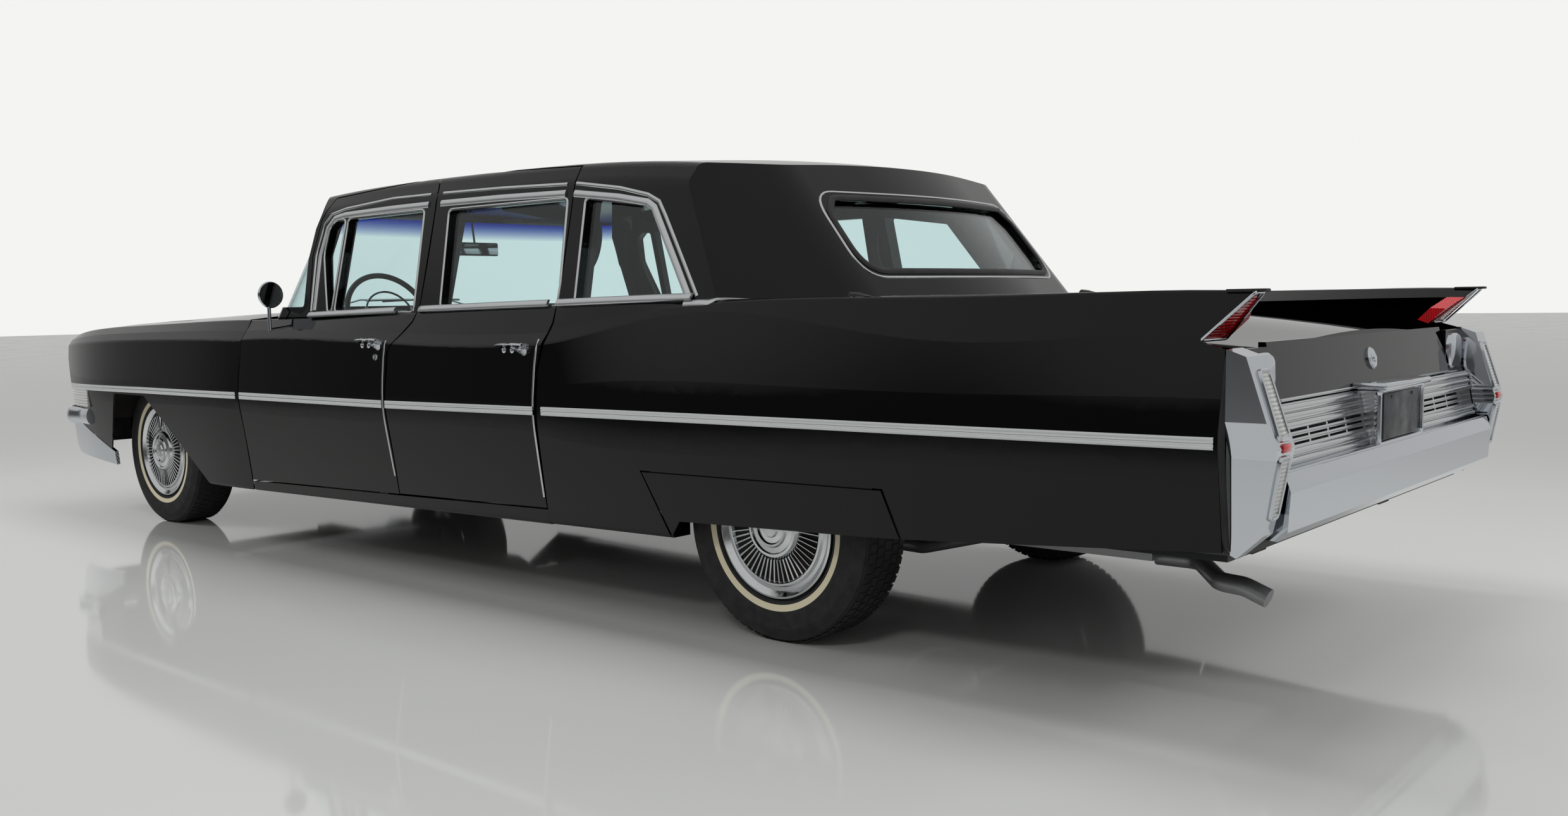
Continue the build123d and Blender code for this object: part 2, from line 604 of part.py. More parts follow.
def wheel(x, side):
    """Pressed wheel with its full cover and blind hub bore."""
    profile = (
        (SPINDLE + FIT, 725), (56, 725), (56, 822), (RIM_RADIUS - 12, 822), (RIM_RADIUS - 12, 690),
        (RIM_RADIUS, 690), (RIM_RADIUS, 856), (212, 860), (213, 868), (204, 874), (188, 866), (150, 864),
        (84, 876), (78, 886), (60, 892), (38, 888), (0, 888), (0, 802), (SPINDLE + FIT, 802),
    )
    return turned(profile, x, HUB_Z, side)


def knuckle(side):
    """Upright on the kingpin, with the wheel's spindle."""
    body = upright_tube(FRONT_AXLE_X, KINGPIN_Y, KNUCKLE_Z, 20)
    body += cross_tube(FRONT_AXLE_X, HUB_Z, (KINGPIN_Y, 800), SPINDLE)
    body += cross_tube(FRONT_AXLE_X, HUB_Z, (KINGPIN_Y, 718), 44)
    body += block((FRONT_AXLE_X - 150, FRONT_AXLE_X), (KINGPIN_Y - 22, KINGPIN_Y - 4), (300, 318))
    body -= upright_tube(FRONT_AXLE_X, KINGPIN_Y, (100, 600), KINGPIN + FIT)
    return body if side > 0 else mirrored(body)


def front_suspension():
    """Cross member with lower and upper arms and the two kingpins."""
    x = FRONT_AXLE_X
    body = block((x - 70, x + 70), (-440, 440), (205, 250))
    low = KNUCKLE_Z[0] - SEAT
    high = KNUCKLE_Z[1] + SEAT
    tip = KINGPIN_Y + 20
    lower = ((x - 60, 430), (x - 24, tip), (x + 24, tip), (x + 60, 430))
    upper = ((x - 60, 441), (x - 22, tip - 2), (x + 22, tip - 2), (x + 60, 441))
    arms = plan_prism(lower, low - ARM_THICK, low)
    arms += plan_prism(upper, high, high + 16)
    arms += upright_tube(x, KINGPIN_Y, (low - ARM_THICK, high + 16), KINGPIN)
    arms += block((x - 60, x + 60), (440 + SEAT, 455), (250, high + 16))
    arms += block((x - 60, x + 60), (425, 455), (205, 252))
    return body + arms + mirrored(arms)


def chassis_frame():
    """X-shaped frame: front rails, centre tube, rear rails over the axle, and a tail section."""
    frame = block((-360, 560), (-120, 120), (FRAME_BOTTOM, 475))
    frame -= block((-400, 600), (-70, 70), (290, 440))
    front_arm = ((560, 75), (560, 120), (1240, 440), (1300, 440), (1300, 350))
    rear_arm = ((-360, 75), (-360, 120), (-1030, 545), (-1062, 545), (-1062, 455))
    arms = plan_prism(front_arm, FRAME_BOTTOM, FLOOR_Z)
    arms += block((1290, 2960), (350, 440), (FRAME_BOTTOM, FLOOR_Z))
    arms += plan_prism(rear_arm, FRAME_BOTTOM, FLOOR_Z)
    arms += side_prism(REAR_RAIL, 455, 545)
    frame += arms
    frame += mirrored(arms)
    frame += block((2780, 2860), (-350, 350), (FRAME_BOTTOM, 315))
    frame += block((1900, 2040), (-350, 350), (250, 300))
    frame += block((-2850, -2810), (-455, 455), (352, 395))
    tail = frame & block((-3000, FRAME_JOINT_X), (-600, 600), (200, 600))
    frame -= block((-3000, FRAME_JOINT_X + SEAT), (-600, 600), (200, 600))
    return Compound(children=[*frame.solids(), *tail.solids()])


def floor_pan():
    """Floor from the firewall to the tail, with its tunnel, rear bulkhead and parcel shelf."""
    pan = side_prism(FLOOR_OUTLINE, -595, 595)
    pan += block((-1056, 1236), (-SILL_INNER_Y, SILL_INNER_Y), (FLOOR_Z, FLOOR_TOP))
    pan += block((-2970, -2056), (-920, 920), (TRUNK_FLOOR_Z, TRUNK_FLOOR_Z + 15))
    pan += block((-1000, 1236), (-165, 165), (FLOOR_TOP, 502))
    pan -= block((-1200, 1300), (-145, 145), (300, 487))
    pan += block((-1395, -1380), (-595, 595), (KICK_Z + 10, 960))
    pan += block((-1480, -1350), (-712, 712), (945, 960))
    return pan


def wheelhouses():
    """Inner panels over the four wheels, left half."""
    x = FRONT_AXLE_X
    front = cross_tube(x, HUB_Z, (450, 1100), 432, 420) & block((1700, 2700), (400, 1100), (480, 900))
    disc = cross_tube(x, HUB_Z, (400, 500), 432)
    front += block((1850, 2572), (440, 452), (FLOOR_Z, 700)) & disc
    front &= FRONT_SIDE_INNER + block((1600, 2800), (400, 716), (100, 1000))
    front -= block((x - 75, x + 75), (430, 460), (300, 480))
    apron = FRONT_SIDE_INNER & block((1345, 2930), (718, 730), (560, 960))
    apron -= cross_tube(x, HUB_Z, (600, 800), 426)
    apron -= block((1340, 1400), (700, 740), (929, 970))
    rear = cross_tube(REAR_AXLE_X, HUB_Z, (597, 1100), 412, 400)
    rear &= block((-2100, -1000), (500, 1100), (515, 900))
    inner_wall = cross_tube(REAR_AXLE_X, HUB_Z, (597, 610), 412)
    rear += inner_wall & block((-2100, -1000), (500, 1100), (KICK_Z + 15, 900))
    rear &= REAR_SIDE_INNER + block((-2100, -1000), (500, 716), (100, 900))
    return (front + apron), rear


def engine():
    """Engine and gearbox as plain blocks on the front cross member."""
    return block((1560, 2300), (-270, 270), (300, 800)) + block((1010, 1565), (-115, 115), (300, 470))


def driveshaft():
    """Tube from the gearbox to the rear axle."""
    return long_tube((1009.7, 0, 365), (-1449, 0, 345), 38)


def rear_axle():
    """Axle tube, differential and brake backing plates, with coil springs and trailing arms."""
    body = cross_tube(REAR_AXLE_X, HUB_Z, (-700, 700), 42)
    body += cross_tube(REAR_AXLE_X, HUB_Z, (-800, 800), SPINDLE)
    body += Pos(REAR_AXLE_X, 0, HUB_Z) * Sphere(140)
    for side in (1, -1):
        body += cross_tube(REAR_AXLE_X, HUB_Z, sorted((side * 690, side * 715)), 135)
        body += upright_tube(REAR_AXLE_X, side * 500, (HUB_Z + 20, 444.7), 55)
        body += long_tube((REAR_AXLE_X, side * 430, 310), (-1130, side * 400, 300), 18)
    return body


def fuel_tank():
    """Fuel tank as a plain block under the trunk floor."""
    return block((-2620, -2100), (-330, 330), (300, TRUNK_FLOOR_Z))


def exhaust():
    """Pipe, silencer and turned-down tail pipe on the left."""
    front_run = FilletPolyline(*EXHAUST_FRONT, radius=90)
    tail_run = FilletPolyline(*EXHAUST_TAIL, radius=60)
    body = sweep(Plane(origin=EXHAUST_FRONT[0], z_dir=(-1, 0, 0)) * Circle(24), path=front_run)
    body += sweep(Plane(origin=EXHAUST_TAIL[0], z_dir=(-1, 0, 0)) * Circle(24), path=tail_run)
    body += block((-2570, -2100), (340, 450), (285, 390))
    body += block((-2400, -2370), (380, 410), (380, TRUNK_FLOOR_Z))
    return body


def seats():
    """Two bench seats; each is a cushion and a back."""
    front = side_prism(FRONT_CUSHION, -SEAT_HALF, SEAT_HALF, SEAT_CORNER)
    front += side_prism(FRONT_BACKREST, -SEAT_HALF, SEAT_HALF, SEAT_CORNER)
    rear = side_prism(REAR_CUSHION, -SEAT_HALF, SEAT_HALF, SEAT_CORNER)
    rear += side_prism(REAR_BACKREST, -SEAT_HALF, SEAT_HALF, SEAT_CORNER)
    tunnel = block((-1100, 1236), (-166, 166), (300, 503))
    return front - tunnel, rear - tunnel


def dashboard():
    """Padded dash with an instrument hood."""
    outline = ((1236, 700), (1120, 720), (1090, 800), (1060, 830), (1070, 930), (1236, 955))
    body = side_prism(outline, -700, 700, 12.0)
    return body - column_bore()


def steering_wheel():
    """Rim, two spokes, boss and shaft, about the sloping column."""
    plane = Plane(origin=STEER_CENTRE, x_dir=(0, 1, 0), z_dir=STEER_AIM)
    rim = plane * Torus(200, 12)
    spokes = plane * Box(390, 26, 12)
    boss = plane * Cylinder(38, 30)
    shaft = extrude(plane * Circle(11), amount=-150)
    return rim + spokes + boss + shaft


def column_bore():
    """Round way for the steering column."""
    plane = Plane(origin=STEER_CENTRE, x_dir=(0, 1, 0), z_dir=STEER_AIM)
    return extrude(plane.offset(-20) * Circle(COLUMN_RADIUS), amount=-500)


def steering_column():
    """Fixed sleeve round the steering shaft."""
    plane = Plane(origin=STEER_CENTRE, x_dir=(0, 1, 0), z_dir=STEER_AIM)
    sleeve = extrude(plane.offset(-20) * (Circle(COLUMN_RADIUS) - Circle(11 + FIT)), amount=-300)
    return sleeve


def rear_panel():
    """Tail panel behind the bumper, with its slotted grille and the blank licence housing."""
    back = (REAR_SIDE_INNER & block((-2986, -2972), (718, 1100), (430, 874)))
    body = back + mirrored(back)
    body += block((-2986, -2972), (-720, 720), (430, 742))
    grille = side_prism(((-2986, 600), (-3040, 600), (-3012, 742), (-2986, 742)), -858, 858)
    for side in (1, -1):
        for column in range(LOUVRE_COLUMNS):
            y = side * (LOUVRE_FIRST_Y + column * LOUVRE_PITCH_Y)
            for row in range(LOUVRE_ROWS):
                z = LOUVRE_Z + row * LOUVRE_PITCH_Z
                grille -= block((-3060, -2990), (y - 60, y + 60), (z, z + 10))
    body += grille
    body += block((-3060, -2986), (-190, 190), (600, 742))
    return body


def tail_lamp():
    """Slanted lamp that fills the open end of the left fin."""
    return REAR_SIDE_INNER & side_prism(TAIL_LAMP_OUTLINE, 800, 1100)


def door_mirror():
    """Round mirror on a stalk at the front of the left door top."""
    x, y, z = MIRROR_CENTRE
    mirror = upright_tube(x, y, (900, z), 7) - MIDDLE_SIDE
    mirror = max(mirror.solids(), key=lambda solid: solid.volume)
    plane = Plane(origin=MIRROR_CENTRE, x_dir=(1, 0, 0), z_dir=(0, -1, 0))
    profile = ((-24, 0), (-24, 51), (-16, 54), (6, 44), (20, 24), (26, 0))
    shell = revolve(plane * make_face(Polyline(*profile, close=True)), Axis(MIRROR_CENTRE, (1, 0, 0)))
    return mirror + shell


def rear_bumper():
    """Curved blade joined to the two six-sided end pods."""
    outline = ((-2986, 455), (-3060, 448), (-3082, 470), (-3088, 560), (-3074, 600), (-2986, 600))
    blade = side_prism(outline, -865, 865, 3.0)
    blade -= block((-2990, -2900), (-1000, 1000), (400, 700))
    pod = side_prism(POD_OUTLINE, *POD_Y, 4.0) - block((-2986, -2900), (800, 1100), (300, 1000))
    pod &= front_prism(POD_FACE, -3100, -2980, 8.0)
    return blade + pod + mirrored(pod)


def front_bumper():
    """Blade across the nose with ends wrapped back along the fenders."""
    wrap = FRONT_SIDE - side_volume(FRONT_SECTIONS, 22.0)
    outline = ((3086, 488), (2902, 446), (2518, 327), (2518, 263), (3030, 290), (3086, 330))
    wrap &= side_prism(outline, 600, 1100)
    blade = side_prism(((3040, 330), (3040, 488), (3088, 488), (3096, 440), (3080, 350)), -900, 900, 3.0)
    for y in (360, -430):
        blade += block((2880, 3050), (y, y + 70), (FLOOR_Z, 375))
    return blade + wrap + mirrored(wrap)


def grille():
    """Egg-crate grille between the headlamps."""
    bars = block((3004, 3040), (-524, 524), (500, 520))
    for row in range(1, 8):
        bars += block((3010, 3040), (-520, 520), (520 + row * 44, 528 + row * 44))
    for column in range(-9, 10):
        bars += block((3004, 3036), (column * 57 - 3, column * 57 + 3), (520, 836))
    bars += block((3004, 3040), (-524, 524), (836, 856))
    bars += block((2960, 3004), (-688, 688), (500, 520)) + block((2960, 3005), (-688, 688), (840, 860))
    for y in (350, -440):
        bars += block((2930, 2962), (y, y + 90), (375, 860))
    return bars


def front_lamps():
    """Paired headlamps in their housings and the corner lamps below them."""
    housing = block((2962, 3020), (528, 876), (670, 840))
    for y in LAMP_Y:
        housing -= Pos(3010, y, LAMP_Z) * (Rot(0, 90, 0) * Cylinder(70, 30))
        housing += Pos(3006, y, LAMP_Z) * (Rot(0, 90, 0) * Cylinder(66, 24))
    return housing


def save_all():
    """Write every piece of the car."""
    os.makedirs("parts", exist_ok=True)
    vent = pane(VENT_WINDOW)
    drop_glass = pane(FRONT_WINDOW)
    left = {
        "fender": fender_left(),
        "quarter": quarter_left(),
        "door_front": front_left_door(),
        "door_rear": rear_left_door(),
        "door_glass_front": Compound(children=[*vent.solids(), *drop_glass.solids()]),
        "door_glass_rear": pane(REAR_WINDOW),
    }
    for name, shape in left.items():
        save(shape, name + "_left")
        save(mirrored(shape), name + "_right")
    save(roof(), "roof_shell")
    save(cowl(), "cowl")
    save(both_sides(sill_left()), "sills")
    save(deck_panel(), "deck_panel")
    save(hood(), "hood")
    save(trunk_lid(), "trunk_lid")
    save(GLASS_SHEET & side_prism(WINDSHIELD, -1100, 1100, WINDOW_CORNER), "windshield")
    back_glass = GLASS_SHEET & front_prism(BACK_WINDOW, -2100, -1150, 60.0)
    save(Compound(children=[*back_glass.solids(), *both_sides(pane(QUARTER_WINDOW)).solids()]), "rear_glass")
    save(both_sides(skirt_left()), "fender_skirts")
    front_house, rear_house = wheelhouses()
    houses = [*both_sides(front_house).solids(), *both_sides(rear_house).solids()]
    save(Compound(children=houses), "wheelhouses")
    for axle_x, end in ((FRONT_AXLE_X, "front"), (REAR_AXLE_X, "rear")):
        for side, hand in ((1, "left"), (-1, "right")):
            save(tyre(axle_x, side), "tyre_%s_%s" % (end, hand))
            save(wheel(axle_x, side), "wheel_%s_%s" % (end, hand))
    save(knuckle(1), "knuckle_left")
    save(knuckle(-1), "knuckle_right")
    front_seat, rear_seat = seats()
    whole = {
        "chassis_frame": chassis_frame(), "floor_pan": floor_pan(), "front_suspension": front_suspension(),
        "engine": engine(), "driveshaft": driveshaft(), "rear_axle": rear_axle(), "exhaust": exhaust(),
        "fuel_tank": fuel_tank(),
        "front_seat": front_seat, "rear_seat": rear_seat, "dashboard": dashboard(),
        "steering_wheel": steering_wheel(), "steering_column": steering_column(),
        "rear_panel": rear_panel(), "rear_bumper": rear_bumper(), "front_bumper": front_bumper(),
        "grille": grille(), "front_lamps": both_sides(front_lamps()),
        "tail_lamps": both_sides(tail_lamp()), "door_mirror": door_mirror(),
    }
    for name, shape in whole.items():
        save(shape, name)


save_all()
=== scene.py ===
"""Looks of a long black limousine, dressed over its solid model. Metres, +X to the nose, +Y left."""

import json
import logging
import math
from dataclasses import dataclass
from enum import Enum
from typing import Iterable, Sequence

import bmesh
import bpy
from mathutils import Matrix, Vector
from mathutils.bvhtree import BVHTree

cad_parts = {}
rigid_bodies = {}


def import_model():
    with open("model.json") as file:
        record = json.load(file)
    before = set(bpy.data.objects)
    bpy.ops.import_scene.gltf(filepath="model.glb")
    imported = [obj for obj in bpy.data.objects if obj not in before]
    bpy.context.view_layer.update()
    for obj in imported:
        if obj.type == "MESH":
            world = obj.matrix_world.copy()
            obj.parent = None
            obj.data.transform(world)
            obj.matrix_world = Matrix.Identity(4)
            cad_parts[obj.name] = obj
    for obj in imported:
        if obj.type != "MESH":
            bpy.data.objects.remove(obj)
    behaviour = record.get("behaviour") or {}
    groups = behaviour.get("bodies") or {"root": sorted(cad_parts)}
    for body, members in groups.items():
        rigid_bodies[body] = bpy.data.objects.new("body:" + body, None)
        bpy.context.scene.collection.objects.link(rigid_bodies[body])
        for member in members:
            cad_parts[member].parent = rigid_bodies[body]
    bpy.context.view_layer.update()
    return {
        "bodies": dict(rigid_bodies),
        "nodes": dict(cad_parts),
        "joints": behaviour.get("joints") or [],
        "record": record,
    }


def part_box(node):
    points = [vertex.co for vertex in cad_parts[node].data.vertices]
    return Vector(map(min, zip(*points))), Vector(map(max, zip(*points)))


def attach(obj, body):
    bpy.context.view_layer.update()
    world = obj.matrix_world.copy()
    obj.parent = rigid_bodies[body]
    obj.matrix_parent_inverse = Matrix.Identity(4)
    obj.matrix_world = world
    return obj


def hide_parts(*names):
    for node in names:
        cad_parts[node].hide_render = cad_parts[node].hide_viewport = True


log = logging.getLogger("limousine")

Point = tuple[float, float, float]
Pair = tuple[float, float]


class Side(Enum):
    """Which side of the car a piece is on."""

    LEFT = 1
    RIGHT = -1

    @property
    def word(self) -> str:
        """The side as it is written in node and body names."""
        return self.name.lower()


class Slot(Enum):
    """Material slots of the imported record."""

    PAINT = "black_paint"
    METAL = "bright_metal"
    RUBBER = "tyre_rubber"
    GLASS = "tinted_glass"
    LENS = "lamp_glass"
    RED = "red_lens"
    CLOTH = "seat_cloth"
    VINYL = "dash_vinyl"


def linear(colour: str) -> tuple[float, float, float, float]:
    """Turn an sRGB hex colour into linear RGBA.

    Args:
        colour: six hex digits after a hash sign.

    Returns:
        Red, green, blue and an alpha of one, linear.
    """
    parts = [int(colour[i:i + 2], 16) / 255.0 for i in (1, 3, 5)]
    turned = [c / 12.92 if c <= 0.04045 else ((c + 0.055) / 1.055) ** 2.4 for c in parts]
    return (turned[0], turned[1], turned[2], 1.0)


def add_node(tree: bpy.types.NodeTree, kind: str, values: dict | None = None, wires: dict | None = None,
             **settings: object) -> bpy.types.Node:
    """Add a node with its settings, socket values and links.

    Args:
        tree: the node tree that gets the node.
        kind: the node's type name without its ShaderNode prefix.
        values: socket name or index to a constant.
        wires: socket name or index to the output socket that feeds it.
        settings: plain attributes of the node.

    Returns:
        The new node.
    """
    node = tree.nodes.new("ShaderNode" + kind)
    for name, value in settings.items():
        setattr(node, name, value)
    for key, value in (values or {}).items():
        node.inputs[key].default_value = value
    for key, output in (wires or {}).items():
        tree.links.new(output, node.inputs[key])
    return node


def maths(tree: bpy.types.NodeTree, operation: str,
          *terms: float | bpy.types.NodeSocket) -> bpy.types.NodeSocket:
    """Add one step of arithmetic on numbers and sockets.

    Args:
        tree: the node tree that gets the node.
        operation: what the node does with its terms.
        terms: numbers and output sockets, in order.

    Returns:
        The result's socket.
    """
    values = {i: term for i, term in enumerate(terms) if isinstance(term, float)}
    wires = {i: term for i, term in enumerate(terms) if i not in values}
    return add_node(tree, "Math", values, wires, operation=operation).outputs[0]


MM = 0.001


def per_metre(size_mm: float) -> float:
    """Texture scale on metre coordinates for a pattern that repeats every size_mm."""
    return 1.0 / (size_mm * MM)


@dataclass(frozen=True)
class Finish:
    """A surface finish: colour, roughness and metal, with detail added by each kind."""

    name: str
    colour: str
    roughness: float
    metallic: float = 0.0

    def build(self) -> bpy.types.Material:
        """Make the Blender material once and hand out the same one after that.

        Returns:
            The material.
        """
        if self.name in bpy.data.materials:
            return bpy.data.materials[self.name]
        material = bpy.data.materials.new(self.name)
        material.use_nodes = True
        tree = material.node_tree
        tree.nodes.clear()
        shader = add_node(tree, "BsdfPrincipled", {
            "Base Color": linear(self.colour), "Roughness": self.roughness, "Metallic": self.metallic})
        add_node(tree, "OutputMaterial", wires={"Surface": shader.outputs[0]})
        place = add_node(tree, "TexCoord").outputs["Object"]
        self.detail(tree, shader, place)
        return material

    def detail(self, tree: bpy.types.NodeTree, shader: bpy.types.Node, place: bpy.types.NodeSocket) -> None:
        """Add what this kind of surface shows close up."""


def noise(tree: bpy.types.NodeTree, place: bpy.types.NodeSocket, size_mm: float,
          detail: float = 2.0) -> bpy.types.NodeSocket:
    """Noise value whose blotches are about size_mm across."""
    return add_node(tree, "TexNoise", {"Scale": per_metre(size_mm), "Detail": detail},
                    {"Vector": place}).outputs["Fac"]


def spread(tree: bpy.types.NodeTree, value: bpy.types.NodeSocket, low: float,
           high: float) -> bpy.types.NodeSocket:
    """Map a 0.3 to 0.7 noise value to the range low to high."""
    return add_node(tree, "MapRange", {"From Min": 0.3, "From Max": 0.7, "To Min": low, "To Max": high},
                    {"Value": value}).outputs["Result"]


def bump(tree: bpy.types.NodeTree, shader: bpy.types.Node, height: bpy.types.NodeSocket, depth_mm: float,
         strength: float = 1.0) -> None:
    """Feed a height pattern to the shader's normal."""
    relief = add_node(tree, "Bump", {"Strength": strength, "Distance": depth_mm * MM}, {"Height": height})
    tree.links.new(relief.outputs["Normal"], shader.inputs["Normal"])


@dataclass(frozen=True)
class Enamel(Finish):
    """Black acrylic enamel under a polished clear coat: deep, with a faint orange peel."""

    def detail(self, tree: bpy.types.NodeTree, shader: bpy.types.Node, place: bpy.types.NodeSocket) -> None:
        """Clear coat, with 9 mm ripples of orange peel and a thin uneven film of dust.

        Args:
            tree: the material's node tree.
            shader: its principled shader.
            place: object coordinates, in metres.
        """
        shader.inputs["Coat Weight"].default_value = 1.0
        shader.inputs["Coat Roughness"].default_value = 0.03
        shader.inputs["Coat IOR"].default_value = 1.36
        shader.inputs["Specular IOR Level"].default_value = 0.0
        dust = spread(tree, noise(tree, place, 260.0, 4.0), self.roughness * 0.8, self.roughness * 1.3)
        tree.links.new(dust, shader.inputs["Roughness"])
        bump(tree, shader, noise(tree, place, 9.0, 1.0), 0.02, 0.25)


@dataclass(frozen=True)
class Plated(Finish):
    """Chromium plate on pressed steel: mirror bright with soft polishing haze."""

    haze_mm: float = 40.0

    def detail(self, tree: bpy.types.NodeTree, shader: bpy.types.Node, place: bpy.types.NodeSocket) -> None:
        """Haze of polishing in the roughness, and faint waves from the press.

        Args:
            tree: the material's node tree.
            shader: its principled shader.
            place: object coordinates, in metres.
        """
        haze = spread(tree, noise(tree, place, self.haze_mm, 3.0), self.roughness * 0.6, self.roughness * 1.6)
        tree.links.new(haze, shader.inputs["Roughness"])
        bump(tree, shader, noise(tree, place, 120.0, 0.0), 0.3, 0.12)


@dataclass(frozen=True)
class Brushed(Finish):
    """Brushed bright aluminium: fine grain along the car's width or length."""

    stretch: Point = (1.0, 0.02, 1.0)

    def detail(self, tree: bpy.types.NodeTree, shader: bpy.types.Node, place: bpy.types.NodeSocket) -> None:
        """Grain about 1 mm wide, drawn out along the brushing.

        Args:
            tree: the material's node tree.
            shader: its principled shader.
            place: object coordinates, in metres.
        """
        drawn = add_node(tree, "Mapping", {"Scale": self.stretch}, {"Vector": place}).outputs[0]
        grain = noise(tree, drawn, 1.2, 3.0)
        tree.links.new(spread(tree, grain, self.roughness * 0.85, self.roughness * 1.2),
                       shader.inputs["Roughness"])
        bump(tree, shader, grain, 0.02, 0.06)


@dataclass(frozen=True)
class HalfPainted(Brushed):
    """Brushed tail panel whose outer ends and upper corners carry the body's black enamel."""

    end_y: float = 0.866
    top_z: float = 0.7445

    def detail(self, tree: bpy.types.NodeTree, shader: bpy.types.Node, place: bpy.types.NodeSocket) -> None:
        """Grain on the metal; black and dielectric outside the bright part.

        Args:
            tree: the material's node tree.
            shader: its principled shader.
            place: object coordinates, in metres.
        """
        super().detail(tree, shader, place)
        parts = add_node(tree, "SeparateXYZ", wires={0: place})
        out = maths(tree, "ABSOLUTE", parts.outputs["Y"])
        ends = maths(tree, "GREATER_THAN", out, self.end_y)
        above = maths(tree, "GREATER_THAN", parts.outputs["Z"], self.top_z)
        paint = maths(tree, "MAXIMUM", ends, above)
        tone = add_node(tree, "Mix", {6: linear(self.colour), 7: linear("#050506")}, {0: paint},
                        data_type="RGBA")
        tree.links.new(tone.outputs[2], shader.inputs["Base Color"])
        metal = maths(tree, "SUBTRACT", 1.0, paint)
        tree.links.new(metal, shader.inputs["Metallic"])


@dataclass(frozen=True)
class Rubber(Finish):
    """Moulded black rubber: dull, with a fine grain and a dry bloom."""

    def detail(self, tree: bpy.types.NodeTree, shader: bpy.types.Node, place: bpy.types.NodeSocket) -> None:
        """Fine pores and a paler bloom in patches.

        Args:
            tree: the material's node tree.
            shader: its principled shader.
            place: object coordinates, in metres.
        """
        bloom = add_node(tree, "Mix", {6: linear(self.colour), 7: linear("#2A2A2B")},
                         {0: spread(tree, noise(tree, place, 60.0, 4.0), 0.0, 0.5)}, data_type="RGBA")
        tree.links.new(bloom.outputs[2], shader.inputs["Base Color"])
        bump(tree, shader, noise(tree, place, 1.6, 2.0), 0.12, 0.5)


@dataclass(frozen=True)
class Tyre(Finish):
    """Tyre rubber with one narrow whitewall band, drawn by distance from the axle."""

    axle_x: float = 0.0
    axle_z: float = 0.342
    band: Pair = (0.2290, 0.2480)
    band_colour: str = "#D9D0B4"
    outer_y: float = 0.80

    def detail(self, tree: bpy.types.NodeTree, shader: bpy.types.Node, place: bpy.types.NodeSocket) -> None:
        """Cream band on the outer wall, moulded rings beside it and dusty rubber elsewhere.

        Args:
            tree: the material's node tree.
            shader: its principled shader.
            place: object coordinates, in metres.
        """
        parts = add_node(tree, "SeparateXYZ", wires={0: place})
        from_x = maths(tree, "SUBTRACT", parts.outputs["X"], self.axle_x)
        from_z = maths(tree, "SUBTRACT", parts.outputs["Z"], self.axle_z)
        flat = add_node(tree, "CombineXYZ", wires={"X": from_x, "Y": from_z}).outputs[0]
        radius = add_node(tree, "VectorMath", wires={0: flat}, operation="LENGTH").outputs["Value"]
        above = maths(tree, "GREATER_THAN", radius, self.band[0])
        below = maths(tree, "LESS_THAN", radius, self.band[1])
        ring = maths(tree, "MULTIPLY", above, below)
        out = maths(tree, "ABSOLUTE", parts.outputs["Y"])
        outer = maths(tree, "GREATER_THAN", out, self.outer_y)
        mask = maths(tree, "MULTIPLY", ring, outer)
        dirt = add_node(tree, "Mix", {6: linear(self.colour), 7: linear("#303031")},
                        {0: spread(tree, noise(tree, place, 35.0, 4.0), 0.0, 0.6)},
                        data_type="RGBA").outputs[2]
        both = add_node(tree, "Mix", {7: linear(self.band_colour)}, {0: mask, 6: dirt}, data_type="RGBA")
        tree.links.new(both.outputs[2], shader.inputs["Base Color"])
        rings = maths(tree, "MULTIPLY", radius, per_metre(7.0) * math.tau)
        wave = maths(tree, "SINE", rings)
        black = maths(tree, "SUBTRACT", 1.0, mask)
        relief = maths(tree, "MULTIPLY", wave, black)
        bump(tree, shader, relief, 0.4, 0.5)


@dataclass(frozen=True)
class TintedGlass(Finish):
    """Tempered plate glass with a pale blue-green tint; a blue shade band where one is named."""

    shade_from: float = 9.0

    def detail(self, tree: bpy.types.NodeTree, shader: bpy.types.Node, place: bpy.types.NodeSocket) -> None:
        """Thin clear sheet: a tinted see-through shader, with gloss added at its own Fresnel share.

        Args:
            tree: the material's node tree.
            shader: its principled shader.
            place: object coordinates, in metres.
        """
        heights = add_node(tree, "SeparateXYZ", wires={0: place}).outputs["Z"]
        fade = add_node(tree, "MapRange", {"From Min": self.shade_from, "From Max": self.shade_from + 0.075},
                        {"Value": heights}).outputs["Result"]
        tone = add_node(tree, "Mix", {6: linear(self.colour), 7: linear("#1F57B8")}, {0: fade},
                        data_type="RGBA")
        clear = add_node(tree, "BsdfTransparent", wires={"Color": tone.outputs[2]})
        gloss = add_node(tree, "BsdfGlossy", {"Color": (1.0, 1.0, 1.0, 1.0), "Roughness": 0.0})
        slant = add_node(tree, "LayerWeight", {"Blend": 0.5}).outputs["Facing"]
        steep = maths(tree, "POWER", slant, 5.0)
        share = add_node(tree, "MapRange", {"To Min": 0.03, "To Max": 0.9},
                         {"Value": steep}).outputs["Result"]
        sheet = add_node(tree, "MixShader", wires={0: share, 1: clear.outputs[0], 2: gloss.outputs[0]})
        output = next(n for n in tree.nodes if n.bl_idname == "ShaderNodeOutputMaterial")
        tree.links.new(sheet.outputs[0], output.inputs["Surface"])
        tree.nodes.remove(shader)


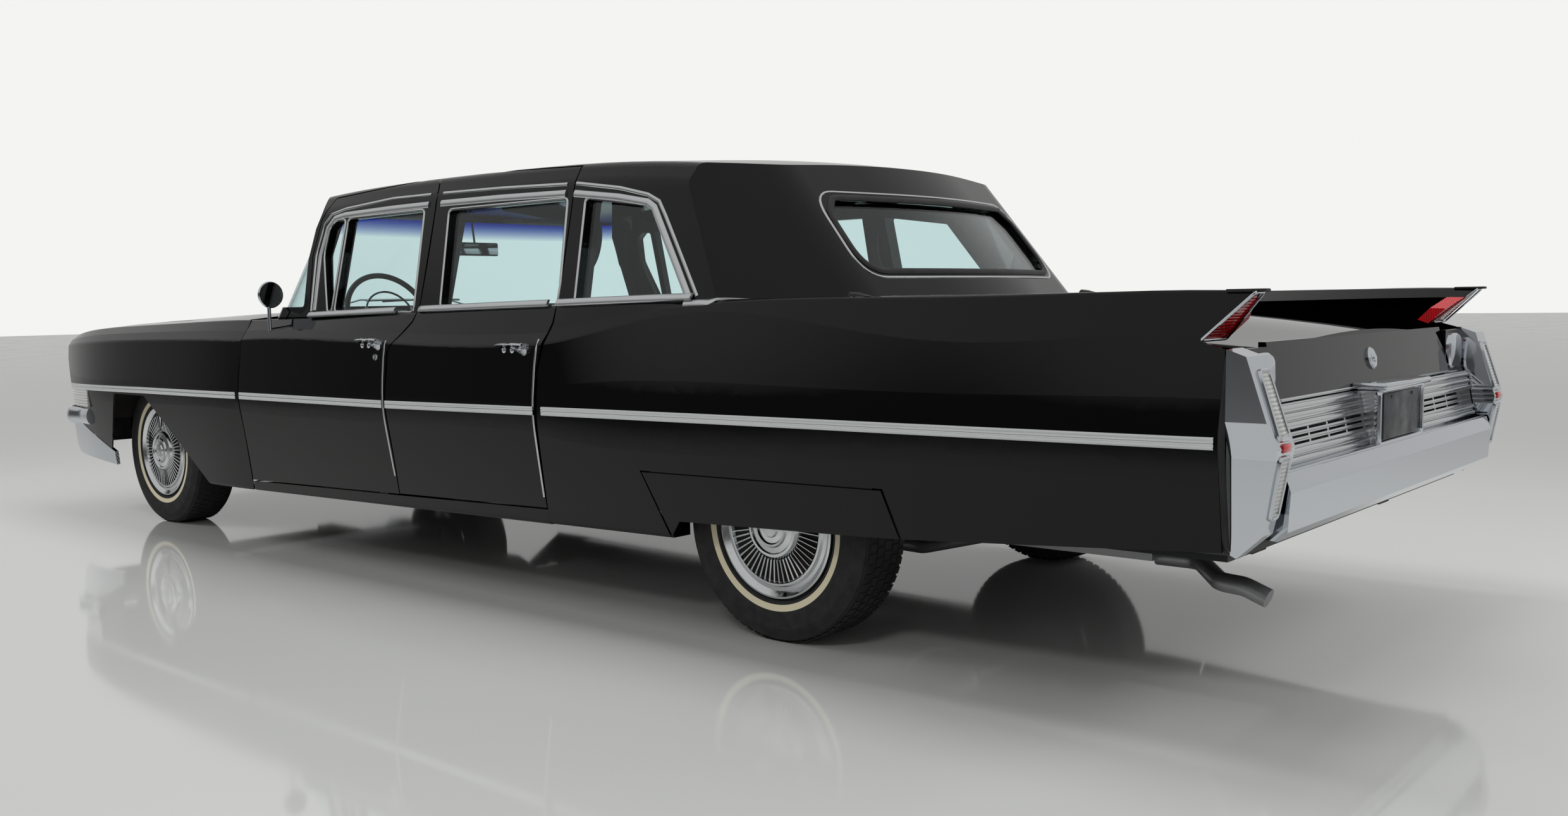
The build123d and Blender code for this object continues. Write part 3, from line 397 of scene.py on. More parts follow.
@dataclass(frozen=True)
class Lens(Finish):
    """Moulded acrylic lamp lens: coloured, clear and ribbed inside."""

    rib_mm: float = 6.0
    rib_axis: int = 2
    # Painted shade: the darker colour that each rib's trough is mixed towards.
    shade: str = "#8E8E8A"

    def detail(self, tree: bpy.types.NodeTree, shader: bpy.types.Node, place: bpy.types.NodeSocket) -> None:
        """Ribs across the lens, with depth from some transmission and a glossy face, and painted shade that
        darkens each rib's trough.

        Args:
            tree: the material's node tree.
            shader: its principled shader.
            place: object coordinates, in metres.
        """
        shader.inputs["Transmission Weight"].default_value = 0.25
        shader.inputs["IOR"].default_value = 1.49
        shader.inputs["Coat Weight"].default_value = 0.6
        shader.inputs["Coat Roughness"].default_value = 0.02
        part = add_node(tree, "SeparateXYZ", wires={0: place}).outputs[self.rib_axis]
        turns = maths(tree, "MULTIPLY", part, per_metre(self.rib_mm) * math.tau)
        wave = maths(tree, "SINE", turns)
        bump(tree, shader, wave, 1.0, 0.5)
        # Painted shade: the colour darkens towards the shade colour in the troughs of the ribs and keeps the
        # lens colour on their crests.
        deep = add_node(tree, "MapRange", {"From Min": -1.0, "From Max": 1.0, "To Min": 0.35, "To Max": 1.0},
                        {"Value": wave})
        tone = add_node(tree, "Mix", {6: linear(self.shade), 7: linear(self.colour)},
                        {0: deep.outputs["Result"]}, data_type="RGBA")
        tree.links.new(tone.outputs[2], shader.inputs["Base Color"])


@dataclass(frozen=True)
class Hide(Finish):
    """Grained leather or vinyl: pebbles a few millimetres across, in slightly uneven colour."""

    grain_mm: float = 4.0

    def detail(self, tree: bpy.types.NodeTree, shader: bpy.types.Node, place: bpy.types.NodeSocket) -> None:
        """Voronoi pebbles, as coarse as they need to show, and worn tone in patches.

        Args:
            tree: the material's node tree.
            shader: its principled shader.
            place: object coordinates, in metres.
        """
        cells = add_node(tree, "TexVoronoi", {"Scale": per_metre(self.grain_mm)},
                         {"Vector": place}).outputs["Distance"]
        bump(tree, shader, cells, 0.4, 0.5)
        worn = add_node(tree, "HueSaturation", {"Color": linear(self.colour)},
                        {"Value": spread(tree, noise(tree, place, 90.0, 3.0), 0.8, 1.25)})
        tree.links.new(worn.outputs[0], shader.inputs["Base Color"])


@dataclass(frozen=True)
class Woven(Finish):
    """Woven cloth or looped carpet: crossing threads and a soft sheen."""

    thread_mm: float = 3.0

    def detail(self, tree: bpy.types.NodeTree, shader: bpy.types.Node, place: bpy.types.NodeSocket) -> None:
        """Threads crossing on X and Y plus Z, under thick and thin slubs twice as wide as a thread.

        Args:
            tree: the material's node tree.
            shader: its principled shader.
            place: object coordinates, in metres.
        """
        shader.inputs["Sheen Weight"].default_value = 0.4
        parts = add_node(tree, "SeparateXYZ", wires={0: place})
        rate = per_metre(self.thread_mm) * math.tau
        across = maths(tree, "ADD", parts.outputs["X"], parts.outputs["Z"])
        waves = []
        for run in (across, parts.outputs["Y"]):
            scaled = maths(tree, "MULTIPLY", run, rate)
            waves.append(maths(tree, "SINE", scaled))
        weave = maths(tree, "MULTIPLY", waves[0], waves[1])
        slubs = noise(tree, place, self.thread_mm * 2.0, 3.0)
        fibre = add_node(tree, "Mix", {0: 0.7}, {2: weave, 3: slubs}, data_type="FLOAT").outputs[0]
        bump(tree, shader, fibre, 0.25, 0.6)
        tone = add_node(tree, "HueSaturation", {"Color": linear(self.colour)},
                        {"Value": spread(tree, slubs, 0.85, 1.12)})
        tree.links.new(tone.outputs[0], shader.inputs["Base Color"])


@dataclass(frozen=True)
class Sooted(Finish):
    """Satin chassis black or bare steel with road film and light rust in patches."""

    stain: str = "#3A332C"

    def detail(self, tree: bpy.types.NodeTree, shader: bpy.types.Node, place: bpy.types.NodeSocket) -> None:
        """Road film blotches in colour and roughness, with a rough surface.

        Args:
            tree: the material's node tree.
            shader: its principled shader.
            place: object coordinates, in metres.
        """
        film = noise(tree, place, 70.0, 5.0)
        tone = add_node(tree, "Mix", {6: linear(self.colour), 7: linear(self.stain)},
                        {0: spread(tree, film, 0.0, 0.55)}, data_type="RGBA")
        tree.links.new(tone.outputs[2], shader.inputs["Base Color"])
        tree.links.new(spread(tree, film, self.roughness * 0.8, min(1.0, self.roughness * 1.3)),
                       shader.inputs["Roughness"])
        bump(tree, shader, noise(tree, place, 2.5, 2.0), 0.1, 0.4)


PAINT = Enamel("black_enamel", "#050506", 0.12)
CHROME = Plated("chrome_plate", "#CDD1D6", 0.06, 1.0)
BRIGHT = Plated("bright_trim", "#D0D2D3", 0.14, 1.0, 15.0)
BAND = Brushed("brushed_window_band", "#D6D8DA", 0.34, 1.0, (0.02, 1.0, 1.0))
TAIL_METAL = HalfPainted("tail_panel_aluminium", "#CFD1D3", 0.20, 1.0)
WHEEL_BRIGHT = Plated("wheel_cover_steel", "#D6D8DA", 0.13, 1.0, 12.0)
GLASS_BLUE = TintedGlass("tinted_plate_glass", "#F2FAFA", 0.0)
GLASS_SHADED = TintedGlass("shaded_windscreen_glass", "#F2FAFA", 0.0, 0.0, 1.305)
SEAL = Rubber("rubber_seal", "#0B0B0C", 0.55)
# The red lens's last colour is the painted shade in its rib troughs.
RED_LENS = Lens("red_acrylic_lens", "#E3101C", 0.08, 0.0, 7.0, 0, "#7A0509")
CLEAR_LENS = Lens("clear_ribbed_lens", "#E4E6E2", 0.1, 0.0, 9.0, 2)
HEADLAMP_GLASS = Lens("fluted_headlamp_glass", "#DADEDD", 0.05, 0.0, 14.0, 1)
SEAT_HIDE = Hide("charcoal_seat_leather", "#2B2C2E", 0.45)
DASH_HIDE = Hide("padded_dash_vinyl", "#141516", 0.5)
DOOR_HIDE = Hide("door_card_vinyl", "#3A3C3F", 0.5)
HEADLINER = Woven("headlining_cloth", "#8D9496", 0.9)
CARPET = Woven("looped_carpet", "#1C1D1F", 0.95, 0.0, 5.0)
WHEEL_PLASTIC = Hide("steering_rim_plastic", "#101012", 0.25, 0.0, 9.0)
CHASSIS = Sooted("chassis_black", "#0E0E0F", 0.6)
STEEL = Sooted("bare_steel", "#5A5752", 0.4, 0.8, "#4A3A2E")
# Near-black finish for the painted shade in the wheel covers' slots.
SLOT_SHADE = Sooted("slot_black", "#060606", 0.8)


def new_piece(name: str, mesh: bmesh.types.BMesh, finish: Finish, body: str, sharp_deg: float = 32.0,
              outward: bool = True) -> bpy.types.Object:
    """Turn a finished bmesh into a piece that rides on a body.

    Args:
        name: the piece's name.
        mesh: its shape, in place; it is freed here.
        finish: its surface.
        body: the body it rides on.
        sharp_deg: edges that fold more than this stay sharp.
        outward: turn all faces outwards, as closed shapes need.

    Returns:
        The new object.
    """
    bmesh.ops.remove_doubles(mesh, verts=mesh.verts, dist=1e-6)
    if outward:
        bmesh.ops.recalc_face_normals(mesh, faces=mesh.faces)
    for face in mesh.faces:
        face.smooth = True
    for edge in mesh.edges:
        edge.smooth = edge.is_manifold and edge.calc_face_angle(0.0) < math.radians(sharp_deg)
    data = bpy.data.meshes.new(name)
    mesh.to_mesh(data)
    mesh.free()
    data.materials.append(finish.build())
    piece = bpy.data.objects.new(name, data)
    bpy.context.scene.collection.objects.link(piece)
    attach(piece, body)
    log.info("piece %s: %d faces on %s", name, len(data.polygons), body)
    return piece


def add_block(mesh: bmesh.types.BMesh, low: Point, high: Point, bevel: float = 0.0,
              segments: int = 2) -> list:
    """Add a bevelled block between two corners.

    Args:
        mesh: the bmesh that gets it.
        low: its lowest corner.
        high: its highest corner.
        bevel: edge width, none at zero.
        segments: steps round each edge.

    Returns:
        Its vertices.
    """
    size = [h - l for l, h in zip(low, high)]
    middle = Vector([(h + l) / 2 for l, h in zip(low, high)])
    verts = bmesh.ops.create_cube(mesh, size=1.0)["verts"]
    bmesh.ops.scale(mesh, vec=size, verts=verts)
    bmesh.ops.translate(mesh, vec=middle, verts=verts)
    if not bevel:
        return verts
    edges = list(dict.fromkeys(edge for vert in verts for edge in vert.link_edges))
    done = bmesh.ops.bevel(mesh, geom=edges, offset=bevel, offset_type="OFFSET", affect="EDGES",
                           segments=segments,
                           profile=0.5, material=-1)
    made = [vert for face in done["faces"] for vert in face.verts] + [v for v in verts if v.is_valid]
    return list(dict.fromkeys(made))


def add_spun(mesh: bmesh.types.BMesh, profile: Sequence[Pair], centre: Point, axis: Point,
             steps: int = 64) -> None:
    """Spin a profile of (radius, distance along the axis) a full turn about an axis.

    Args:
        mesh: the bmesh that gets the shape.
        profile: radius and height pairs, in metres.
        centre: a point on the axis where the distance is zero.
        axis: direction of the axis.
        steps: steps in the turn.
    """
    along = Vector(axis).normalized()
    out = along.orthogonal().normalized()
    base = Vector(centre)
    verts = [mesh.verts.new(base + out * radius + along * height) for radius, height in profile]
    edges = [mesh.edges.new(pair) for pair in zip(verts, verts[1:])]
    bmesh.ops.spin(mesh, geom=verts + edges, cent=base, axis=along, angle=math.tau, steps=steps,
                   use_merge=True)
    bmesh.ops.remove_doubles(mesh, verts=mesh.verts, dist=1e-6)


def add_swept(mesh: bmesh.types.BMesh, path: Sequence[Vector], outs: Sequence[Vector],
              profile: Sequence[Pair],
              closed: bool = False) -> None:
    """Extrude a section along a path; the section is closed and given as (out, up) pairs.

    Args:
        mesh: the bmesh that gets the strip.
        path: points of the path.
        outs: the outward direction at each point.
        profile: the section, as distances outwards and upwards.
        closed: join the end of the path to its start.
    """
    count = len(path)
    rings = []
    for i, (point, out) in enumerate(zip(path, outs)):
        before = path[i - 1] if (i or closed) else path[0]
        after = path[(i + 1) % count] if (i < count - 1 or closed) else path[-1]
        along = (after - before).normalized()
        up = along.cross(out).normalized()
        if up.z < -0.2 or (abs(up.z) <= 0.2 and up.y < 0):
            up = -up
        if rings and rings[-1][2].dot(up) < 0:
            up = -up
        rings.append((point, out, up))
    start = rings[0]
    verts = [mesh.verts.new(start[0] + start[1] * o + start[2] * u) for o, u in profile]
    edges = [mesh.edges.new(pair) for pair in zip(verts, verts[1:] + verts[:1])]
    first = list(edges)
    for point, out, up in rings[1:]:
        made = bmesh.ops.extrude_edge_only(mesh, edges=edges)["geom"]
        fresh = [g for g in made if isinstance(g, bmesh.types.BMVert)]
        edges = [g for g in made if isinstance(g, bmesh.types.BMEdge) and all(v in fresh for v in g.verts)]
        fresh_order = [next(e.other_vert(v) for e in v.link_edges if e.other_vert(v) in fresh) for v in verts]
        for vert, (o, u) in zip(fresh_order, profile):
            vert.co = point + out * o + up * u
        verts = fresh_order
    if closed:
        bmesh.ops.bridge_loops(mesh, edges=first + edges)
    else:
        bmesh.ops.contextual_create(mesh, geom=first)
        bmesh.ops.contextual_create(mesh, geom=edges)


def round_section(radius: float, sides: int = 8, squeeze: float = 1.0) -> list[Pair]:
    """A round or flattened section for a swept strip."""
    return [(radius * squeeze * math.cos(math.tau * i / sides), radius * math.sin(math.tau * i / sides))
            for i in range(sides)]


def resampled(points: Sequence[Sequence[float]], step: float, closed: bool = False) -> list[Vector]:
    """Points along a polyline no further apart than step, its corners kept.

    Args:
        points: corners of the line.
        step: longest distance between two points, in metres.
        closed: join the last corner to the first.

    Returns:
        The points; a closed line's first one isn't repeated.
    """
    corners = [Vector(p) for p in points]
    if closed:
        corners.append(corners[0])
    result = [corners[0]]
    for a, b in zip(corners, corners[1:]):
        count = max(1, math.ceil((b - a).length / step))
        result += [a.lerp(b, (i + 1) / count) for i in range(count)]
    return result[:-1] if closed else result


def rounded(points: Sequence[Sequence[float]], radius: float, closed: bool = True,
            steps: int = 5) -> list[tuple]:
    """A flat outline with each corner turned into a short curve of the given reach.

    Args:
        points: corners of the outline.
        radius: how far along each edge a curve reaches.
        closed: round the first and the last corner too.
        steps: steps in each curve.

    Returns:
        The outline's points.
    """
    result: list[tuple] = []
    count = len(points)
    for i, corner in enumerate(points):
        if not closed and i in (0, count - 1):
            result.append(tuple(corner))
            continue
        here = Vector(corner)
        before = Vector(points[i - 1])
        after = Vector(points[(i + 1) % count])
        a = here + (before - here).normalized() * min(radius, (before - here).length / 2.1)
        b = here + (after - here).normalized() * min(radius, (after - here).length / 2.1)
        for k in range(steps + 1):
            t = k / steps
            result.append(tuple(a * (1 - t) ** 2 + here * 2 * t * (1 - t) + b * t * t))
    return result


class Surface:
    """The outer skin of some CAD nodes, to lay trim on."""

    def __init__(self, nodes: dict[str, bpy.types.Object], names: Iterable[str]) -> None:
        """Join the nodes' triangles into one search tree.

        Args:
            nodes: CAD nodes by name.
            names: the nodes to join.
        """
        points: list[Vector] = []
        faces: list[tuple] = []
        for name in names:
            data = nodes[name].data
            start = len(points)
            points += [v.co.copy() for v in data.vertices]
            faces += [tuple(start + i for i in polygon.vertices) for polygon in data.polygons]
        self.tree = BVHTree.FromPolygons(points, faces)

    def hit(self, origin: Vector, direction: Vector) -> tuple[Vector, Vector] | None:
        """First point on the skin along a direction, with the normal that faces back.

        Args:
            origin: where the ray starts.
            direction: the way it goes.

        Returns:
            The point and its normal, or None where nothing is met.
        """
        place, normal, _, _ = self.tree.ray_cast(origin, direction)
        if place is None:
            return None
        return place, (normal if normal.dot(direction) < 0 else -normal)

    def lay(self, points: Sequence[Vector], direction: Vector) -> tuple[list[Vector], list[Vector]]:
        """Drop points on the skin along a direction.

        Args:
            points: points off the skin.
            direction: the way they are dropped.

        Returns:
            The places on the skin and the normals there; points that miss are left out.
        """
        places, normals = [], []
        for point in points:
            found = self.hit(point - direction * 0.6, direction)
            if found:
                places.append(found[0])
                normals.append(found[1])
        return places, normals


@dataclass
class Studio:
    """Pale floor, soft lamps and a camera at the photograph's angle."""

    camera_place: Point = (-4.1579, 3.8309, 0.9965)
    yaw_deg: float = -49.593
    pitch_deg: float = -5.107
    roll_deg: float = -0.916
    focal_px: float = 2151.4
    image_width_px: float = 2480.0
    centre_drop_px: float = 23.0

    def build(self) -> None:
        """Make the floor, the lamps, the world and the camera."""
        self.floor()
        self.world()
        self.lamps()
        self.camera()

    def floor(self) -> None:
        """A wide pale floor of polished epoxy, which mirrors the car softly."""
        mesh = bmesh.new()
        bmesh.ops.create_grid(mesh, x_segments=1, y_segments=1, size=60.0)
        data = bpy.data.meshes.new("studio_floor")
        mesh.to_mesh(data)
        mesh.free()
        material = bpy.data.materials.new("polished_epoxy_floor")
        material.use_nodes = True
        tree = material.node_tree
        shader = tree.nodes["Principled BSDF"]
        shader.inputs["Base Color"].default_value = linear("#C2C3C1")
        place = add_node(tree, "TexCoord").outputs["Object"]
        tree.links.new(spread(tree, noise(tree, place, 900.0, 2.0), 0.03, 0.10), shader.inputs["Roughness"])
        data.materials.append(material)
        floor = bpy.data.objects.new("studio_floor", data)
        bpy.context.scene.collection.objects.link(floor)

    def world(self) -> None:
        """Soft grey light from all round, seen as a white room by the camera, by metal and through glass."""
        world = bpy.data.worlds.new("white_room")
        bpy.context.scene.world = world
        world.use_nodes = True
        tree = world.node_tree
        tree.nodes.clear()
        path = add_node(tree, "LightPath")
        seen = maths(tree, "MAXIMUM", path.outputs["Is Camera Ray"], path.outputs["Is Transmission Ray"])
        direction = add_node(tree, "TexCoord").outputs["Generated"]
        parts = add_node(tree, "SeparateXYZ", wires={0: direction})
        near_side = add_node(tree, "MapRange",
                             {"From Min": 0.05, "From Max": 0.55, "To Min": 0.62, "To Max": 0.10},
                             {"Value": parts.outputs["Y"]}, interpolation_type="SMOOTHSTEP").outputs["Result"]
        overhead = add_node(tree, "MapRange",
                            {"From Min": 0.12, "From Max": 0.34, "To Min": 0.0, "To Max": 0.66},
                            {"Value": parts.outputs["Z"]}, interpolation_type="SMOOTHSTEP").outputs["Result"]
        shade = maths(tree, "MAXIMUM", near_side, overhead)
        glossy = maths(tree, "MULTIPLY", path.outputs["Is Glossy Ray"], shade)
        room = maths(tree, "MAXIMUM", seen, glossy)
        lit = maths(tree, "MAXIMUM", room, 0.1)
        plain = maths(tree, "SUBTRACT", 1.0, path.outputs["Is Diffuse Ray"])
        strength = add_node(tree, "Mix", {2: 0.62}, {0: plain, 3: lit}, data_type="FLOAT").outputs[0]
        background = add_node(tree, "Background", {"Color": linear("#F4F4F3")}, {"Strength": strength})
        add_node(tree, "OutputWorld", wires={"Surface": background.outputs[0]})

    def lamps(self) -> None:
        """Four soft boxes: one overhead, two on the photographed side and one behind the tail."""
        rows = (
            ((0.0, 0.0, 4.2), (0.0, 0.0, 0.0), (5.5, 1.6), 150.0),
            ((-3.2, 4.6, 3.4), (-1.0, 0.0, 0.5), (1.0, 0.5), 40.0),
            ((-5.5, -2.5, 3.2), (-1.5, 0.0, 0.7), (2.4, 1.4), 70.0),
            ((4.5, 3.0, 3.4), (1.5, 0.0, 0.4), (2.0, 1.2), 60.0),
        )
        for i, (place, aim, size, power) in enumerate(rows):
            data = bpy.data.lights.new("softbox_%d" % i, "AREA")
            data.shape = "RECTANGLE"
            data.size, data.size_y = size
            data.energy = power
            lamp = bpy.data.objects.new("softbox_%d" % i, data)
            lamp.location = place
            lamp.rotation_euler = (Vector(aim) - Vector(place)).to_track_quat("-Z", "Y").to_euler()
            lamp.visible_glossy = False
            bpy.context.scene.collection.objects.link(lamp)

    def camera(self) -> None:
        """The camera where the photograph was taken from."""
        yaw, pitch, roll = (math.radians(a) for a in (self.yaw_deg, self.pitch_deg, self.roll_deg))
        forward = Vector((math.cos(yaw) * math.cos(pitch), math.sin(yaw) * math.cos(pitch), math.sin(pitch)))
        right = forward.cross(Vector((0, 0, 1))).normalized()
        up = right.cross(forward)
        turned_right = right * math.cos(roll) + up * math.sin(roll)
        turned_up = up * math.cos(roll) - right * math.sin(roll)
        data = bpy.data.cameras.new("photo_camera")
        data.sensor_width = 36.0
        data.lens = 36.0 * self.focal_px / self.image_width_px
        data.shift_y = self.centre_drop_px / self.image_width_px
        data.dof.use_dof = False
        data.clip_end = 200.0
        camera = bpy.data.objects.new("photo_camera", data)
        frame = Matrix((turned_right, turned_up, -forward)).transposed().to_4x4()
        camera.matrix_world = Matrix.Translation(self.camera_place) @ frame
        bpy.context.scene.collection.objects.link(camera)
        bpy.context.scene.camera = camera
        bpy.context.scene.view_settings.view_transform = "Standard"


@dataclass
class Dressing:
    """Finishes for the CAD nodes that keep their own shape."""

    nodes: dict[str, bpy.types.Object]

    def build(self) -> None:
        """Give each node its one finish."""
        for name, node in self.nodes.items():
            finish = self.finish_for(name)
            node.data.materials.clear()
            node.data.materials.append(finish.build())
            for polygon in node.data.polygons:
                polygon.material_index = 0

    def finish_for(self, name: str) -> Finish:
        """Pick the finish of a CAD node by its name.

        Args:
            name: the node's name.

        Returns:
            Its finish.
        """
        if name.startswith("tyre_"):
            return Tyre("tyre_" + name.split("_")[1], "#141415", 0.7, axle_x=2.212
                        if "front" in name else -1.591)
        if name == "windshield":
            return GLASS_SHADED
        if "glass" in name:
            return GLASS_BLUE
        for finish, words in (
            (WHEEL_BRIGHT, ("wheel_",)), (WHEEL_PLASTIC, ("steering_wheel",)), (RED_LENS, ("tail_lamps",)),
            (CHROME, ("front_bumper", "rear_bumper", "door_mirror", "grille")), (TAIL_METAL, ("rear_panel",)),
            (CHROME, ("front_lamps",)), (SEAT_HIDE, ("front_seat", "rear_seat")),
            (DASH_HIDE, ("dashboard", "steering_column")),
            (STEEL, ("exhaust", "rear_axle", "driveshaft", "fuel_tank", "front_suspension", "knuckle")),
            (CARPET, ("floor_pan",)), (CHASSIS, ("chassis_frame", "wheelhouses", "engine")),
        ):
            if any(name.startswith(word) for word in words):
                return finish
        return PAINT


@dataclass
class WheelCover:
    """Bright full wheel cover: a dish of radial fins round a raised hub, on its pressed rim."""

    end: str
    side: Side
    axle_x: float
    hub_z: float = 0.342
    fins: int = 54
    face_y: float = 0.8700

    def build(self) -> bpy.types.Object:
        """Spin the dish, lay its fins and put the cover in place of the plain wheel.

        Returns:
            The cover.
        """
        node = "wheel_%s_%s" % (self.end, self.side.word)
        mesh = bmesh.new()
        add_spun(mesh, self.dish(), (0.0, 0.0, 0.0), (0.0, 1.0, 0.0), 96)
        fin = bmesh.new()
        add_block(fin, (-0.0026, -0.010, 0.097), (0.0026, 0.0015, 0.166), 0.0015, 1)
        single = bpy.data.meshes.new("fin")
        fin.to_mesh(single)
        fin.free()
        for i in range(self.fins):
            start = len(mesh.verts)
            mesh.from_mesh(single)
            mesh.verts.ensure_lookup_table()
            bmesh.ops.rotate(mesh, cent=(0, 0, 0), matrix=Matrix.Rotation(math.tau * i / self.fins, 3, "Y"),
                             verts=mesh.verts[start:])
        bpy.data.meshes.remove(single)
        self.place(mesh)
        cover = new_piece("wheel_cover_%s_%s" % (self.end, self.side.word), mesh, WHEEL_BRIGHT, node)
        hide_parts(node)
        # Painted shade: a near-black ring just over the dish floor between the fins stands in for the open
        # slots.
        slots = bmesh.new()
        add_spun(slots, ((0.099, -0.008), (0.163, -0.009)), (0.0, 0.0, 0.0), (0.0, 1.0, 0.0), 64)
        self.place(slots)
        new_piece("wheel_slots_%s_%s" % (self.end, self.side.word), slots, SLOT_SHADE, node, outward=False)
        return cover

    def dish(self) -> list[Pair]:
        """Section of cover, rim and hub well, as radius and distance outwards from the face."""
        return [
            (0.0001, 0.020), (0.026, 0.019), (0.030, 0.014), (0.046, 0.012), (0.050, 0.017), (0.056, 0.017),
            (0.060, 0.011), (0.076, 0.007), (0.080, 0.011), (0.088, 0.010), (0.094, 0.001), (0.098, -0.009),
            (0.164, -0.010), (0.168, -0.001), (0.174, -0.002), (0.180, -0.010), (0.190, -0.012),
            (0.200, -0.004),
            (0.206, 0.001), (0.2115, -0.001), (0.213, -0.006), (0.209, -0.012), (0.190, -0.020),
            (0.188, -0.180),
            (0.196, -0.186), (0.190, -0.190), (0.180, -0.186), (0.178, -0.060), (0.060, -0.055),
            (0.056, -0.145),
            (0.022, -0.145), (0.022, -0.070), (0.0001, -0.069),
        ]

    def place(self, mesh: bmesh.types.BMesh) -> None:
        """Move a cover built about the Y axis to its hub and side.

        Args:
            mesh: the cover's shape, moved in place.
        """
        bmesh.ops.translate(mesh, vec=(0, self.face_y, 0), verts=mesh.verts)
        if self.side is Side.RIGHT:
            bmesh.ops.scale(mesh, vec=(1, -1, 1), verts=mesh.verts)
        bmesh.ops.translate(mesh, vec=(self.axle_x, 0, self.hub_z), verts=mesh.verts)


@dataclass
class TyreTread:
    """Shoulder blocks and ribs of the tread, proud of the plain carcass."""

    end: str
    side: Side
    axle_x: float
    hub_z: float = 0.342
    blocks: int = 72
    radius: float = 0.342
    track_y: float = 0.775
    block_foot: float = 0.3405
    block_top: float = 0.3436

    def build(self) -> bpy.types.Object:
        """Lay blocks in five rows round the tyre.

        Returns:
            The tread.
        """
        single = bmesh.new()
        rows = ((-0.066, 0.012, 0.0), (-0.035, 0.012, 0.5), (0.0, 0.013, 0.0), (0.035, 0.012, 0.5),
                (0.066, 0.012, 0.0))
        pitch = math.tau * self.radius / self.blocks
        for y, half, phase in rows:
            add_block(single, (-pitch * 0.36 + phase * pitch, y - half, self.block_foot),
                      (pitch * 0.36 + phase * pitch, y + half, self.block_top))
        pattern = bpy.data.meshes.new("tread_pitch")
        single.to_mesh(pattern)
        single.free()
        mesh = bmesh.new()
        for i in range(self.blocks):
            start = len(mesh.verts)
            mesh.from_mesh(pattern)
            mesh.verts.ensure_lookup_table()
            bmesh.ops.rotate(mesh, cent=(0, 0, 0), matrix=Matrix.Rotation(math.tau * i / self.blocks, 3, "Y"),
                             verts=mesh.verts[start:])
        bpy.data.meshes.remove(pattern)
        bmesh.ops.translate(mesh, vec=(self.axle_x, self.side.value * self.track_y, self.hub_z),
                            verts=mesh.verts)
        piece = new_piece("tread_%s_%s" % (self.end, self.side.word), mesh, SEAL,
                          "wheel_%s_%s" % (self.end, self.side.word))
        return piece


